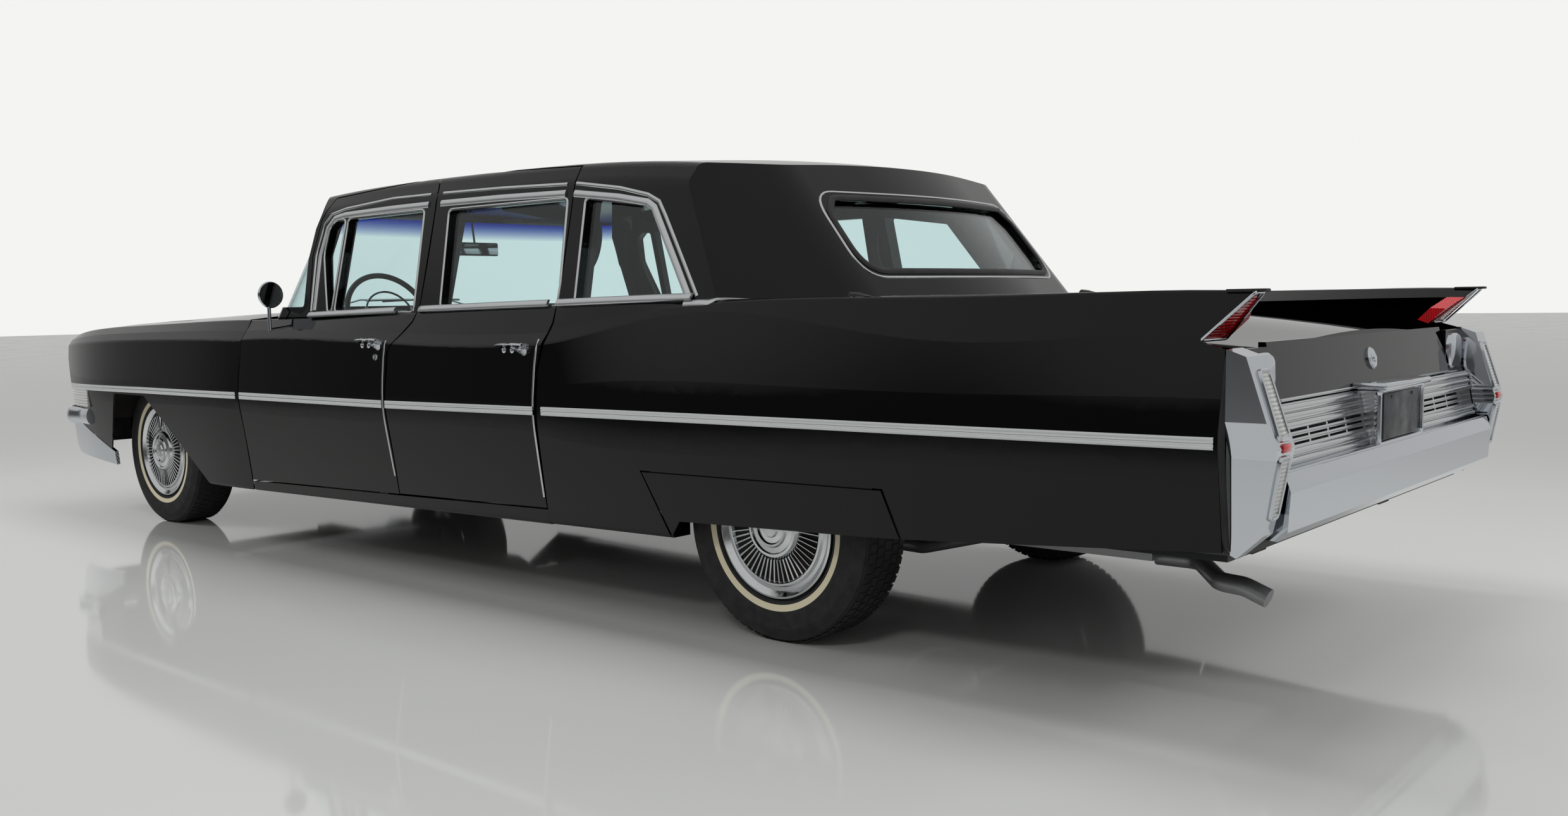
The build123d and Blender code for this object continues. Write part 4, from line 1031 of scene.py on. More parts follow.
@dataclass
class SideTrim:
    """Bright mouldings of one side: body strip, belt strip, window surrounds, guards and handles."""

    nodes: dict[str, bpy.types.Object]
    side: Side

    STRIP = ((3.000, 0.629), (1.890, 0.640), (0.137, 0.645), (-0.706, 0.655), (-1.759, 0.664),
             (-3.002, 0.672))
    STRIP_SECTION = (
        (-0.003, -0.0150), (0.0035, -0.0140), (0.0060, -0.0095), (0.0035, -0.0052), (0.0060, -0.0010),
        (0.0060, 0.0010),
        (0.0035, 0.0052), (0.0060, 0.0095), (0.0035, 0.0140), (-0.003, 0.0150),
    )
    STRIP_RUNS = (("fender", 2.995, 1.229), ("door_front", 1.2000, 0.166), ("door_rear", 0.1445, -0.692),
                  ("quarter", -0.701, -2.962))
    BAND_SECTION = (
        (-0.003, -0.0125), (0.0030, -0.0122), (0.0052, -0.0095), (0.0064, -0.0030), (0.0060, 0.0040),
        (0.0040, 0.0100),
        (0.0015, 0.0122), (-0.003, 0.0125),
    )
    INNER = (
        ("door_front",
         ((0.738, 0.988), (0.758, 1.204), (0.735, 1.312), (0.694, 1.349), (0.622, 1.358), (0.316, 1.365),
          (0.072, 1.367))),
        ("door_rear", ((-0.002, 1.367), (-0.342, 1.366), (-0.688, 1.360))),
        ("roof", ((-0.732, 1.357), (-0.944, 1.332), (-1.080, 1.308), (-1.112, 1.290), (-1.140, 1.250),
                  (-1.308, 1.016))),
    )
    BELT = ((0.780, 0.972), (0.137, 0.987), (-0.706, 1.002), (-1.330, 1.014))
    BELT_RUNS = (("door_front", 0.765, 0.172), ("door_rear", 0.138, -0.690), ("quarter", -0.704, -1.330))
    OUTER = (
        ("door_front",
         ((0.764, 0.985), (0.790, 1.204), (0.764, 1.330), (0.722, 1.366), (0.629, 1.382), (0.316, 1.404),
                        (0.072, 1.404))),
        ("door_rear", ((-0.002, 1.404), (-0.342, 1.400), (-0.688, 1.390))),
        ("roof", ((-0.732, 1.390), (-0.944, 1.361), (-1.075, 1.332), (-1.129, 1.308), (-1.165, 1.262),
                  (-1.344, 1.014))),
    )
    WINDOWS = (
        ("door_front", "vent",
         ((0.655, 0.990), (0.727, 1.200), (0.715, 1.310), (0.680, 1.335), (0.622, 1.335), (0.622, 0.990))),
        ("door_front", "drop", ((0.590, 0.990), (0.590, 1.338), (0.104, 1.344), (0.078, 0.984))),
        ("door_rear", "drop", ((-0.060, 1.336), (-0.692, 1.338), (-0.722, 1.000), (-0.092, 1.000))),
        ("roof", "quarter", ((-0.794, 1.334), (-1.100, 1.292), (-1.300, 1.012), (-0.812, 1.005))),
    )
    GUARDS = (
        ("door_front",
         ((0.158, 0.875), (0.165, 0.815), (0.1655, 0.735), (0.1635, 0.655), (0.158, 0.544), (0.150, 0.421),
          (0.146, 0.380))),
        ("door_rear",
         ((-0.6985, 0.885), (-0.6905, 0.800), (-0.6885, 0.655), (-0.691, 0.500), (-0.6945, 0.370))),
    )

    def body(self, stem: str) -> str:
        """The body that a panel stem rides on."""
        return "%s_%s" % (stem, self.side.word) if stem.startswith("door") else "body"

    def node(self, stem: str) -> str:
        """The CAD node of a panel stem on this side."""
        return "roof_shell" if stem == "roof" else "%s_%s" % (stem, self.side.word)

    def lay(self, names: Sequence[str], points: Sequence[Pair], step: float = 0.03, closed: bool = False
            ) -> tuple[list[Vector], list[Vector]]:
        """Drop a side-view line on the given nodes from this side.

        Args:
            names: the nodes that the line may fall on.
            points: x and z pairs of the line.
            step: longest distance between two points, in metres.
            closed: join the last pair to the first.

        Returns:
            Points on the skin, and the normals there.
        """
        start = self.side.value * 1.4
        flat = [Vector((x, start, z)) for x, z in points]
        return Surface(self.nodes, names).lay(resampled(flat, step, closed), Vector((0, -self.side.value, 0)))

    def height(self, line: Sequence[Pair], x: float) -> float:
        """Height of a line of x and z points at x.

        Args:
            line: x and z pairs, from front to rear.
            x: where the height is wanted.

        Returns:
            The height; past an end of the line, the height at that end.
        """
        for (x0, z0), (x1, z1) in zip(line, line[1:]):
            if x1 <= x <= x0:
                return z0 + (z1 - z0) * (x - x0) / (x1 - x0)
        return line[0][1] if x > line[0][0] else line[-1][1]

    def strip_piece(self, name: str, stem: str, line: Sequence[Pair], section: Sequence[Pair], finish: Finish,
                    closed: bool = False) -> None:
        """Sweep a section along a line laid on one panel.

        Args:
            name: the piece's name without its side.
            stem: the panel's name without its side.
            line: x and z pairs of the line.
            section: its section, as (out, up) pairs.
            finish: its surface.
            closed: join the line's end to its start.
        """
        places, normals = self.lay([self.node(stem)], line, closed=closed)
        if len(places) < 3:
            log.warning("%s: its line misses the panel", name)
            return
        mesh = bmesh.new()
        add_swept(mesh, places, normals, section, closed)
        new_piece("%s_%s" % (name, self.side.word), mesh, finish, self.body(stem), 40.0)

    def build(self) -> None:
        """Lay all the strips of this side, then its handles."""
        for stem, start, end in self.STRIP_RUNS:
            line = [(x, self.height(self.STRIP, x)) for x in (start, (start + end) / 2, end)]
            self.strip_piece("side_moulding_" + stem, stem, line, self.STRIP_SECTION, BRIGHT)
        for stem, start, end in self.BELT_RUNS:
            self.belt(stem, start, end)
        for stem, line in self.OUTER:
            self.strip_piece("outer_window_trim_" + stem, stem, line, round_section(0.0065, 10, 0.6), BRIGHT)
        for stem, line in self.INNER:
            self.strip_piece("inner_window_band_" + stem, stem, line, self.BAND_SECTION, BAND)
        for stem, word, outline in self.WINDOWS:
            grown = self.grown(outline, 0.007)
            self.strip_piece("%s_window_reveal_%s" % (word, stem), stem, rounded(grown, 0.02),
                             round_section(0.0045, 8, 0.7), BRIGHT,
                             closed=True)
        for stem, line in self.GUARDS:
            self.strip_piece("edge_guard_" + stem, stem, line, round_section(0.0035, 8), BRIGHT)
        for stem, x, z in (("door_front", 0.262, 0.870), ("door_rear", -0.575, 0.862)):
            self.handle(stem, x, z)

    def belt(self, stem: str, start: float, end: float) -> None:
        """Wide band under the windows.

        It is laid on the panel's upper side just below its crest, and raised from there.

        Args:
            stem: the panel's name without its side.
            start: x of the band's front end.
            end: x of its rear end.
        """
        line = [(x, self.height(self.BELT, x) - 0.022) for x in (start, (start + end) / 2, end)]
        places, normals = self.lay([self.node(stem)], line)
        if len(places) < 3:
            log.warning("belt band of %s misses the panel", stem)
            return
        lift = Vector((0.0, -self.side.value * 0.0030, 0.022))
        mesh = bmesh.new()
        add_swept(mesh, [p + lift for p in places], normals, self.BAND_SECTION)
        new_piece("belt_moulding_%s_%s" % (stem, self.side.word), mesh, BAND, self.body(stem), 40.0)

    def grown(self, outline: Sequence[Pair], by: float) -> list[Pair]:
        """Push each corner of an outline away from its middle.

        Args:
            outline: its corners.
            by: how far they move on each axis, in metres.

        Returns:
            The larger outline.
        """
        middle = sum((Vector(p) for p in outline), Vector((0, 0))) / len(outline)
        result = []
        for corner in outline:
            away = Vector(corner) - middle
            result.append((corner[0] + math.copysign(by, away.x), corner[1] + math.copysign(by, away.y)))
        return result

    def handle(self, stem: str, x: float, z: float) -> None:
        """A thin pull blade over a boat-shaped plate with a push button, and a key lock on the front door.

        Args:
            stem: the panel's name without its side.
            x: x of the blade's middle.
            z: its height.
        """
        places, normals = self.lay([self.node(stem)], [(x + 0.080, z), (x, z), (x - 0.080, z)], 0.2)
        mesh = bmesh.new()
        out = normals[1]
        front, middle, rear = (p + out * d for p, d in zip(places, (0.006, 0.030, 0.024)))
        grip = [front.lerp(middle, t / 6) + out * 0.006 * math.sin(math.pi * t / 6) for t in range(7)]
        grip += [middle.lerp(rear, t / 6) + out * 0.004 * math.sin(math.pi * t / 6) for t in range(1, 7)]
        blade = ((-0.010, -0.0035), (0.006, -0.0030), (0.009, 0.0), (0.006, 0.0030), (-0.010, 0.0035))
        add_swept(mesh, grip, [out] * len(grip), blade)
        plate, facing = self.lay([self.node(stem)], [(x + 0.056 - 0.014 * i, z - 0.012) for i in range(10)],
                                 0.02)
        for i, (place, normal) in enumerate(zip(plate, facing)):
            if i % 3 == 1:
                add_spun(mesh, ((0.0001, 0.0035), (0.008, 0.003), (0.011, 0.001), (0.0115, -0.003)), place,
                         normal, 16)
        rest = places[2] + Vector((0.020, 0.0, -0.016))
        add_spun(mesh, ((0.0001, 0.024), (0.008, 0.022), (0.010, 0.012), (0.014, 0.004), (0.016, -0.004)),
                 rest, out, 24)
        add_spun(mesh, ((0.0001, 0.026), (0.0065, 0.025), (0.0075, 0.012), (0.0075, -0.002)),
                 rest + Vector((0.026, 0, 0.004)), out, 20)
        add_spun(mesh, ((0.0001, 0.026), (0.006, 0.025), (0.009, 0.010), (0.011, -0.004)),
                 places[2] + Vector((0.006, 0, 0.0)), out, 20)
        if stem == "door_front":
            lock, facing = self.lay([self.node(stem)], [(x - 0.046, z - 0.055), (x - 0.047, z - 0.055)], 0.2)
            add_spun(mesh,
                     ((0.0001, 0.003), (0.004, 0.003), (0.005, 0.005), (0.011, 0.0045), (0.013, 0.0),
                      (0.013, -0.003)),
                     lock[0], facing[0], 24)
        new_piece("handle_%s_%s" % (stem, self.side.word), mesh, CHROME, self.body(stem))


@dataclass
class Glazing:
    """Rubber and bright surrounds of the back window, a bright line along the windscreen's top, and the strip
    round the roof's foot.
    """

    nodes: dict[str, bpy.types.Object]

    SCREEN_TOP_Z = 1.386
    BACK = ((-0.545, 1.085), (-0.530, 1.310), (0.530, 1.310), (0.545, 1.085))
    FOOT = ((-1.300, 0.9230), (-1.400, 0.9210), (-1.452, 0.9040), (-1.505, 0.8650), (-1.565, 0.8160),
            (-1.655, 0.7520),
            (-1.708, 0.7140), (-1.750, 0.6780), (-1.795, 0.6100), (-1.838, 0.3850), (-1.870, 0.0))

    def build(self) -> None:
        """Lay the back window's surround, the roof's foot strip and the bright line along the windscreen's
        top.
        """
        roof = Surface(self.nodes, ["roof_shell"])
        for name, grow, section, finish in (
            ("back_window_gasket", 0.004, round_section(0.012, 10, 0.5), SEAL),
            ("back_window_bright_line", 0.022, round_section(0.004, 8, 0.8), BRIGHT),
        ):
            outline = [(y + math.copysign(grow, y), z + math.copysign(grow, z - 1.2)) for y, z in self.BACK]
            flat = [Vector((-2.6, y, z)) for y, z in rounded(outline, 0.085, steps=8)]
            self.strip(name, roof, resampled(flat, 0.04, True), Vector((1, 0, 0)), section, finish, True)
        lower = Surface(self.nodes, ["deck_panel", "quarter_left", "quarter_right", "trunk_lid"])
        plan = list(self.FOOT) + [(x, -y) for x, y in reversed(self.FOOT[:-1])]
        points = [Vector((x, y, 1.7)) for x, y in plan]
        self.strip("roof_foot_strip", lower, resampled(points, 0.03), Vector((0, 0, -1)),
                   [(o, u * 1.5) for o, u in round_section(0.008, 10, 0.8)], BAND, False)
        screen = Surface(self.nodes, ["windshield", "roof_shell", "cowl"])
        arc = [Vector((2.4, math.sin(t / 16 * math.pi / 2 * 0.99) * 0.80, self.SCREEN_TOP_Z))
               for t in range(-16, 17)]
        self.strip("screen_top_bright_line", screen, arc, Vector((-1, 0, 0)), round_section(0.006, 8, 0.6),
                   BRIGHT, False)

    def strip(self, name: str, skin: Surface, points: Sequence[Vector], direction: Vector,
              section: Sequence[Pair],
              finish: Finish, closed: bool) -> None:
        """Sweep a section along points dropped on a skin.

        Args:
            name: the piece's name.
            skin: the skin that it lies on.
            points: points off the skin.
            direction: the way they are dropped.
            section: its section, as (out, up) pairs.
            finish: its surface.
            closed: join the path's end to its start.
        """
        places, normals = skin.lay(points, direction)
        if len(places) < 3:
            log.warning("%s: its line misses the skin", name)
            return
        mesh = bmesh.new()
        add_swept(mesh, places, normals, section, closed)
        new_piece(name, mesh, finish, "body", 40.0)


@dataclass
class FinLamp:
    """Bright bezel and dark cap round the slanted lamp at a fin's end."""

    nodes: dict[str, bpy.types.Object]
    side: Side

    def build(self) -> None:
        """Run the bezel round the lens face and set the cap on the fin's tip."""
        s = self.side.value
        corners = ((-2.9165, 0.962, 0.895), (-2.9165, 0.820, 0.895), (-3.0285, 0.888, 0.999),
                   (-3.0285, 0.940, 0.999))
        face = Vector((-0.109, 0.0, -0.120)).normalized()
        ring = [Vector((x - 0.003, s * y, z)) for x, y, z in corners]
        mesh = bmesh.new()
        path = resampled(rounded(ring, 0.008, steps=3), 0.02, True)
        add_swept(mesh, path, [Vector((face.x, 0, face.z))] * len(path), round_section(0.0034, 8), True)
        new_piece("fin_lamp_bezel_" + self.side.word, mesh, CHROME, "body")
        cap = bmesh.new()
        add_block(cap, (-3.050, s * 0.9135 - 0.017, 0.9995), (-2.960, s * 0.9135 + 0.017, 1.0070), 0.0035, 3)
        new_piece("fin_tip_cap_" + self.side.word, cap, SEAL, "body")
        foot = bmesh.new()
        inner = Surface(self.nodes, ["quarter_" + self.side.word])
        spots = [inner.hit(Vector((x, s * 0.55, z)), Vector((0, s, 0))) for x, z in
                 ((-2.895, 0.900), (-2.915, 0.898), (-2.935, 0.896), (-2.955, 0.893))]
        ring = [found[0] for found in spots if found]
        if len(ring) > 2:
            add_swept(foot, ring, [Vector((0, -s, 0))] * len(ring), round_section(0.009, 10, 0.8))
            new_piece("fin_foot_reflector_" + self.side.word, foot, RED_LENS, "body")


@dataclass
class EndPod:
    """Six-sided bumper end: bright frame, clear ribbed lenses above and below, red reflector on the ridge."""

    side: Side

    MID_Y = 0.917
    RIDGE = (-3.0960, 0.6630)
    UPPER = (-3.0420, 0.8300)
    LOWER = (-3.0680, 0.5080)

    def build(self) -> None:
        """Make the two lens runs with their frames, and the reflector between them."""
        for word, end in (("upper", self.UPPER), ("lower", self.LOWER)):
            self.run(word, Vector((end[0], 0, end[1])), Vector((self.RIDGE[0], 0, self.RIDGE[1])))
        s = self.side.value
        mesh = bmesh.new()
        add_block(mesh, (-3.0985, s * self.MID_Y - 0.024, 0.654), (-3.088, s * self.MID_Y + 0.024, 0.674),
                  0.003, 2)
        new_piece("pod_reflector_" + self.side.word, mesh, RED_LENS, "body")

    def run(self, word: str, far: Vector, ridge: Vector) -> None:
        """One straight run: a raised frame, with a ribbed lens set inside it.

        Args:
            word: upper or lower, for the pieces' names.
            far: the run's end away from the ridge.
            ridge: the ridge where both runs meet.
        """
        s = self.side.value
        along = (far - ridge).normalized()
        out = along.cross(Vector((0, 1, 0))).normalized()
        if out.x > 0:
            out = -out
        start = ridge + along * 0.020
        stop = far
        width = 0.030 if word == "upper" else 0.026
        inner_low = self.MID_Y - width
        inner_high = self.MID_Y + width
        ring = [start + Vector((0, s * inner_low, 0)), start + Vector((0, s * inner_high, 0)),
                stop + Vector((0, s * (inner_high - 0.004), 0)),
                stop + Vector((0, s * (inner_low + 0.006), 0))]
        mesh = bmesh.new()
        path = resampled(rounded(ring, 0.012, steps=4), 0.02, True)
        add_swept(mesh, path, [out] * len(path), [(o * 1.2, u) for o, u in round_section(0.0055, 8)], True)
        new_piece("pod_frame_%s_%s" % (word, self.side.word), mesh, CHROME, "body")
        lens = bmesh.new()
        mid = (start + stop) / 2
        length = (stop - start).length
        add_block(lens, (-length / 2 + 0.003, -width + 0.003, -0.004),
                  (length / 2 - 0.003, width - 0.003, 0.003), 0.002, 2)
        turn = Matrix((along, Vector((0, 1, 0)), out)).transposed()
        bmesh.ops.rotate(lens, cent=(0, 0, 0), matrix=turn, verts=lens.verts)
        bmesh.ops.translate(lens, vec=mid + Vector((0, s * self.MID_Y, 0)), verts=lens.verts)
        new_piece("pod_lens_%s_%s" % (word, self.side.word), lens, CLEAR_LENS, "body")


@dataclass
class PodSeal:
    """Black gasket between the quarter and the bumper end, and the bright horn inside of it."""

    side: Side

    SECTION = ((0.885, 0.873), (0.9400, 0.872), (0.9530, 0.860), (0.9880, 0.680), (0.9560, 0.450),
               (0.9440, 0.425), (0.890, 0.425))

    def build(self) -> None:
        """Sweep the gasket round the quarter's rear edge."""
        s = self.side.value
        ring = [Vector((-2.9790, s * y, z)) for y, z in self.SECTION]
        mesh = bmesh.new()
        path = resampled([tuple(p) for p in rounded([tuple(p) for p in ring], 0.03, closed=False)], 0.03)
        add_swept(mesh, path, [Vector((-1, 0, 0))] * len(path),
                  [(o * 1.2, u) for o, u in round_section(0.0070, 8)])
        new_piece("pod_gasket_" + self.side.word, mesh, SEAL, "body")
        self.horn()

    def horn(self) -> None:
        """Rounded bright end of the bumper, between the trunk lid's corner and the end pod."""
        mesh = bmesh.new()
        centre = Vector((0.0, self.side.value * 0.791, 0.808))
        rings = ((-2.985, 0.066, 0.056), (-2.994, 0.065, 0.055), (-3.000, 0.060, 0.050),
                 (-3.003, 0.046, 0.036),
                 (-3.004, 0.0005, 0.0005))
        previous = None
        for x, half_y, half_z in rings:
            row = []
            for i in range(32):
                turn = math.tau * i / 32
                y = math.copysign(abs(math.cos(turn)) ** 0.6, math.cos(turn)) * half_y
                z = math.copysign(abs(math.sin(turn)) ** 0.6, math.sin(turn)) * half_z
                row.append(mesh.verts.new(Vector((x, centre.y + y, centre.z + z))))
            edges = [mesh.edges.new(pair) for pair in zip(row, row[1:] + row[:1])]
            if previous:
                bmesh.ops.bridge_loops(mesh, edges=previous + edges)
            previous = edges
        new_piece("bumper_horn_" + self.side.word, mesh, CHROME, "body")


@dataclass
class TailPanel:
    """Louvres, frame of the licence housing and its blank plate, and the strip along the trunk's lip."""

    def build(self) -> None:
        """Lay the louvre rails and the housing's frame."""
        mesh = bmesh.new()
        for s in (1, -1):
            for z, half in ((0.6115, 0.0090), (0.6310, 0.0090), (0.6535, 0.0020), (0.6685, 0.0020),
                            (0.6910, 0.0090),
                            (0.7110, 0.0090), (0.7300, 0.0090)):
                x = -3.040 + (z - 0.600) / 0.142 * 0.028
                add_block(mesh, (x - half * 0.9, min(s * 0.197, s * 0.854), z - half),
                          (x + half * 1.1, max(s * 0.197, s * 0.854), z + half),
                          half * 0.85, 4)
        new_piece("tail_louvre_rails", mesh, BRIGHT, "body")
        frame = bmesh.new()
        ring = [Vector((-3.062, y, z))
                for y, z in ((-0.186, 0.604), (0.186, 0.604), (0.186, 0.742), (-0.186, 0.742))]
        path = resampled(rounded(ring, 0.014, steps=4), 0.03, True)
        add_swept(frame, path, [Vector((-1, 0, 0))] * len(path),
                  [(o * 1.4, u) for o, u in round_section(0.007, 10)], True)
        add_block(frame, (-3.088, -0.198, 0.744), (-2.995, 0.198, 0.762), 0.008, 4)
        new_piece("licence_housing_frame", frame, CHROME, "body")
        plate = bmesh.new()
        add_block(plate, (-3.0665, -0.150, 0.612), (-3.0605, 0.150, 0.732), 0.002, 2)
        for y in (-0.09, 0.09):
            add_spun(plate, ((0.0001, 0.004), (0.004, 0.003), (0.006, 0.0)), (-3.0660, y, 0.722), (-1, 0, 0),
                     16)
        new_piece("blank_plate", plate, Plated("blank_plate_enamel", "#35373B", 0.35, 0.2, 60.0), "body")
        lip = bmesh.new()
        add_block(lip, (-3.004, -0.700, 0.744), (-2.992, 0.700, 0.752), 0.003, 3)
        new_piece("trunk_lip_strip", lip, BRIGHT, "trunk_lid")
        shelf = bmesh.new()
        add_block(shelf, (-3.072, -0.850, 0.5965), (-3.030, 0.850, 0.6045), 0.003, 3)
        new_piece("bumper_top_shelf", shelf, CHROME, "body")
        boss = bmesh.new()
        add_spun(boss,
                 ((0.0001, 0.012), (0.010, 0.011), (0.014, 0.006), (0.026, 0.005), (0.030, 0.001),
                  (0.030, -0.010)),
                 (-2.9865, 0.0, 0.818), (-0.97, 0.0, 0.22), 40)
        new_piece("trunk_lock_boss", boss, CHROME, "trunk_lid")


@dataclass
class RoofScoop:
    """Small horn-shaped air outlet beside the back window."""

    nodes: dict[str, bpy.types.Object]
    side: Side

    def build(self) -> None:
        """Sweep a growing ring forward to the mouth."""
        s = self.side.value
        skin = Surface(self.nodes, ["deck_panel", "quarter_left", "quarter_right"])
        found = skin.hit(Vector((-1.80, s * 0.690, 1.5)), Vector((0, 0, -1)))
        foot = found[0].z if found else 0.985
        mesh = bmesh.new()
        ring = bmesh.ops.create_circle(mesh, cap_ends=True, segments=20, radius=0.012)["verts"]
        bmesh.ops.rotate(mesh, cent=(0, 0, 0), matrix=Matrix.Rotation(math.pi / 2, 3, "Y"), verts=ring)
        bmesh.ops.translate(mesh, vec=(-1.890, s * 0.690, foot + 0.004), verts=ring)
        edges = [e for e in mesh.edges]
        sizes = ((-1.860, 1.5, 0.012), (-1.820, 1.35, 0.022), (-1.780, 1.2, 0.028), (-1.752, 1.05, 0.030),
                 (-1.750, 0.86, 0.030),
                 (-1.775, 0.95, 0.028))
        centre = Vector((-1.890, s * 0.690, foot + 0.004))
        for x, grow, lift in sizes:
            made = bmesh.ops.extrude_edge_only(mesh, edges=edges)["geom"]
            verts = [g for g in made if isinstance(g, bmesh.types.BMVert)]
            edges = [g for g in made
                     if isinstance(g, bmesh.types.BMEdge) and all(v in verts for v in g.verts)]
            target = Vector((x, s * 0.690, foot + lift))
            bmesh.ops.translate(mesh, vec=target - centre, verts=verts)
            bmesh.ops.scale(mesh, vec=(1, grow, grow), space=Matrix.Translation(-target), verts=verts)
            centre = target
        new_piece("roof_scoop_" + self.side.word, mesh, PAINT, "body")


@dataclass
class Nose:
    """Front end: headlamps in bright bezels, grille bars, corner lamps and windscreen wipers."""

    nodes: dict[str, bpy.types.Object]

    LAMPS_Y = (0.620, 0.790)
    LAMP_Z = 0.760
    CORNER_Z = 0.578
    BLADE_Z = 0.487

    def build(self) -> None:
        """Dress both sides of the nose."""
        for side in Side:
            self.headlamps(side)
            self.corner_lamp(side)
            self.wiper(side)
        self.bumper_blade()
        self.bars()

    def headlamps(self, side: Side) -> None:
        """Two sealed-beam lamps with domed fluted glass in bright bezels.

        Args:
            side: the side of the car.
        """
        glass, bezels = bmesh.new(), bmesh.new()
        dome = ((0.0001, 0.016), (0.020, 0.015), (0.040, 0.011), (0.056, 0.005), (0.063, -0.001),
                (0.063, -0.006))
        ring = ((0.061, -0.004), (0.063, 0.004), (0.069, 0.009), (0.077, 0.007), (0.082, 0.000),
                (0.083, -0.010))
        for y in self.LAMPS_Y:
            centre = (3.020, side.value * y, self.LAMP_Z)
            add_spun(glass, dome, centre, (1, 0, 0), 48)
            add_spun(bezels, ring, centre, (1, 0, 0), 48)
        new_piece("headlamp_glass_" + side.word, glass, HEADLAMP_GLASS, "body")
        new_piece("headlamp_bezels_" + side.word, bezels, CHROME, "body")

    def corner_lamp(self, side: Side) -> None:
        """Ribbed clear lamp round the fender's corner, the ribbed panel inboard of it and the filler above.

        Args:
            side: the side of the car.
        """
        s = side.value
        skin = Surface(self.nodes, ["fender_" + side.word])
        line = []
        for x in (2.735, 2.790, 2.850, 2.905):
            found = [skin.hit(Vector((x, s * 1.4, z)), Vector((0, -s, 0))) for z in (0.540, 0.578, 0.615)]
            reach = max((abs(spot[0].y) for spot in found if spot), default=0.960)
            line.append(Vector((x, s * (reach + 0.002), self.CORNER_Z)))
        line += [Vector((x, s * y, self.CORNER_Z)) for x,
                 y in ((2.960, 0.952), (3.000, 0.938), (3.022, 0.915), (3.030, 0.880),
                                                              (3.032, 0.800))]
        self.ribbed("corner_lamp_" + side.word, line, side, CLEAR_LENS)
        inboard = [Vector((3.032, s * y, self.CORNER_Z)) for y in (0.796, 0.660, 0.532)]
        self.ribbed("front_valance_" + side.word, inboard, side, BRIGHT)
        filler = bmesh.new()
        add_block(filler, (2.930, min(s * 0.530, s * 0.884), 0.6290),
                  (3.026, max(s * 0.530, s * 0.884), 0.6685), 0.006, 3)
        new_piece("headlamp_filler_" + side.word, filler, PAINT, "body")

    def ribbed(self, name: str, line: Sequence[Vector], side: Side, finish: Finish) -> None:
        """A band of half-round ribs swept along a line in plan.

        Args:
            name: the piece's name.
            line: its path, at half its height.
            side: the side of the car.
            finish: its surface.
        """
        half, ribs = 0.0455, 7
        section = [(-0.008, -half), (-0.008, half)]
        for i in range(ribs * 4, -1, -1):
            section.append((0.0035 * abs(math.sin(math.pi * i / 4)), -half + 2 * half * i / (ribs * 4)))
        path = resampled([tuple(p) for p in line], 0.03)
        outs = []
        for i in range(len(path)):
            along = (path[min(i + 1, len(path) - 1)] - path[max(i - 1, 0)]).normalized()
            out = Vector((0, 0, 1)).cross(along)
            outs.append(out if out.x + out.y * side.value * 0.2 > 0 else -out)
        mesh = bmesh.new()
        add_swept(mesh, path, outs, section)
        new_piece(name, mesh, finish, "body", 50.0)

    def bumper_blade(self) -> None:
        """Bright upper blade of the bumper, from one wheel opening round the nose to the other."""
        skin = Surface(self.nodes, ["fender_left"])
        half = []
        for x in (2.752, 2.800, 2.860, 2.915):
            found = skin.hit(Vector((x, 1.4, self.BLADE_Z)), Vector((0, -1, 0)))
            half.append((x, (found[0].y if found else 0.960) + 0.010))
        half += [(2.975, 0.975), (3.030, 0.956), (3.062, 0.920), (3.075, 0.860), (3.080, 0.600),
                 (3.083, 0.300)]
        plan = half + [(3.084, 0.0)] + [(x, -y) for x, y in reversed(half)]
        path = resampled([(x, y, self.BLADE_Z) for x, y in plan], 0.03)
        outs = []
        for i in range(len(path)):
            along = (path[min(i + 1, len(path) - 1)] - path[max(i - 1, 0)]).normalized()
            outs.append(Vector((0, 0, 1)).cross(along))
        deep, tall = 0.010, 0.040
        section = [(-deep * 1.6, -tall)]
        section += [(-deep * 0.6 + deep * 1.6 * math.sin(math.pi * t / 12) ** 0.6, -tall + 2 * tall * t / 12)
                    for t in range(13)]
        section += [(-deep * 1.6, tall)]
        mesh = bmesh.new()
        add_swept(mesh, path, outs, section[::-1])
        new_piece("front_bumper_blade", mesh, CHROME, "body", 40.0)

    def bars(self) -> None:
        """Fine vertical fins between the grille's cast bars, and the heavier centre bar."""
        mesh = bmesh.new()
        for column in range(-18, 19):
            y = column * 0.0285
            add_block(mesh, (3.012, y - 0.0015, 0.522), (3.037, y + 0.0015, 0.834), 0.0008, 1)
        add_block(mesh, (3.015, -0.522, 0.668), (3.050, 0.522, 0.684), 0.005, 3)
        new_piece("grille_fins", mesh, CHROME, "body")
        lip = bmesh.new()
        line = [Vector((3.0605, 0.700 * t / 12, 0.922 - 0.033 * (t / 12) ** 2)) for t in range(-12, 13)]
        add_swept(lip, line, [Vector((1, 0, 0))] * len(line), round_section(0.0070, 10, 0.9))
        new_piece("hood_lip_moulding", lip, CHROME, "hood")

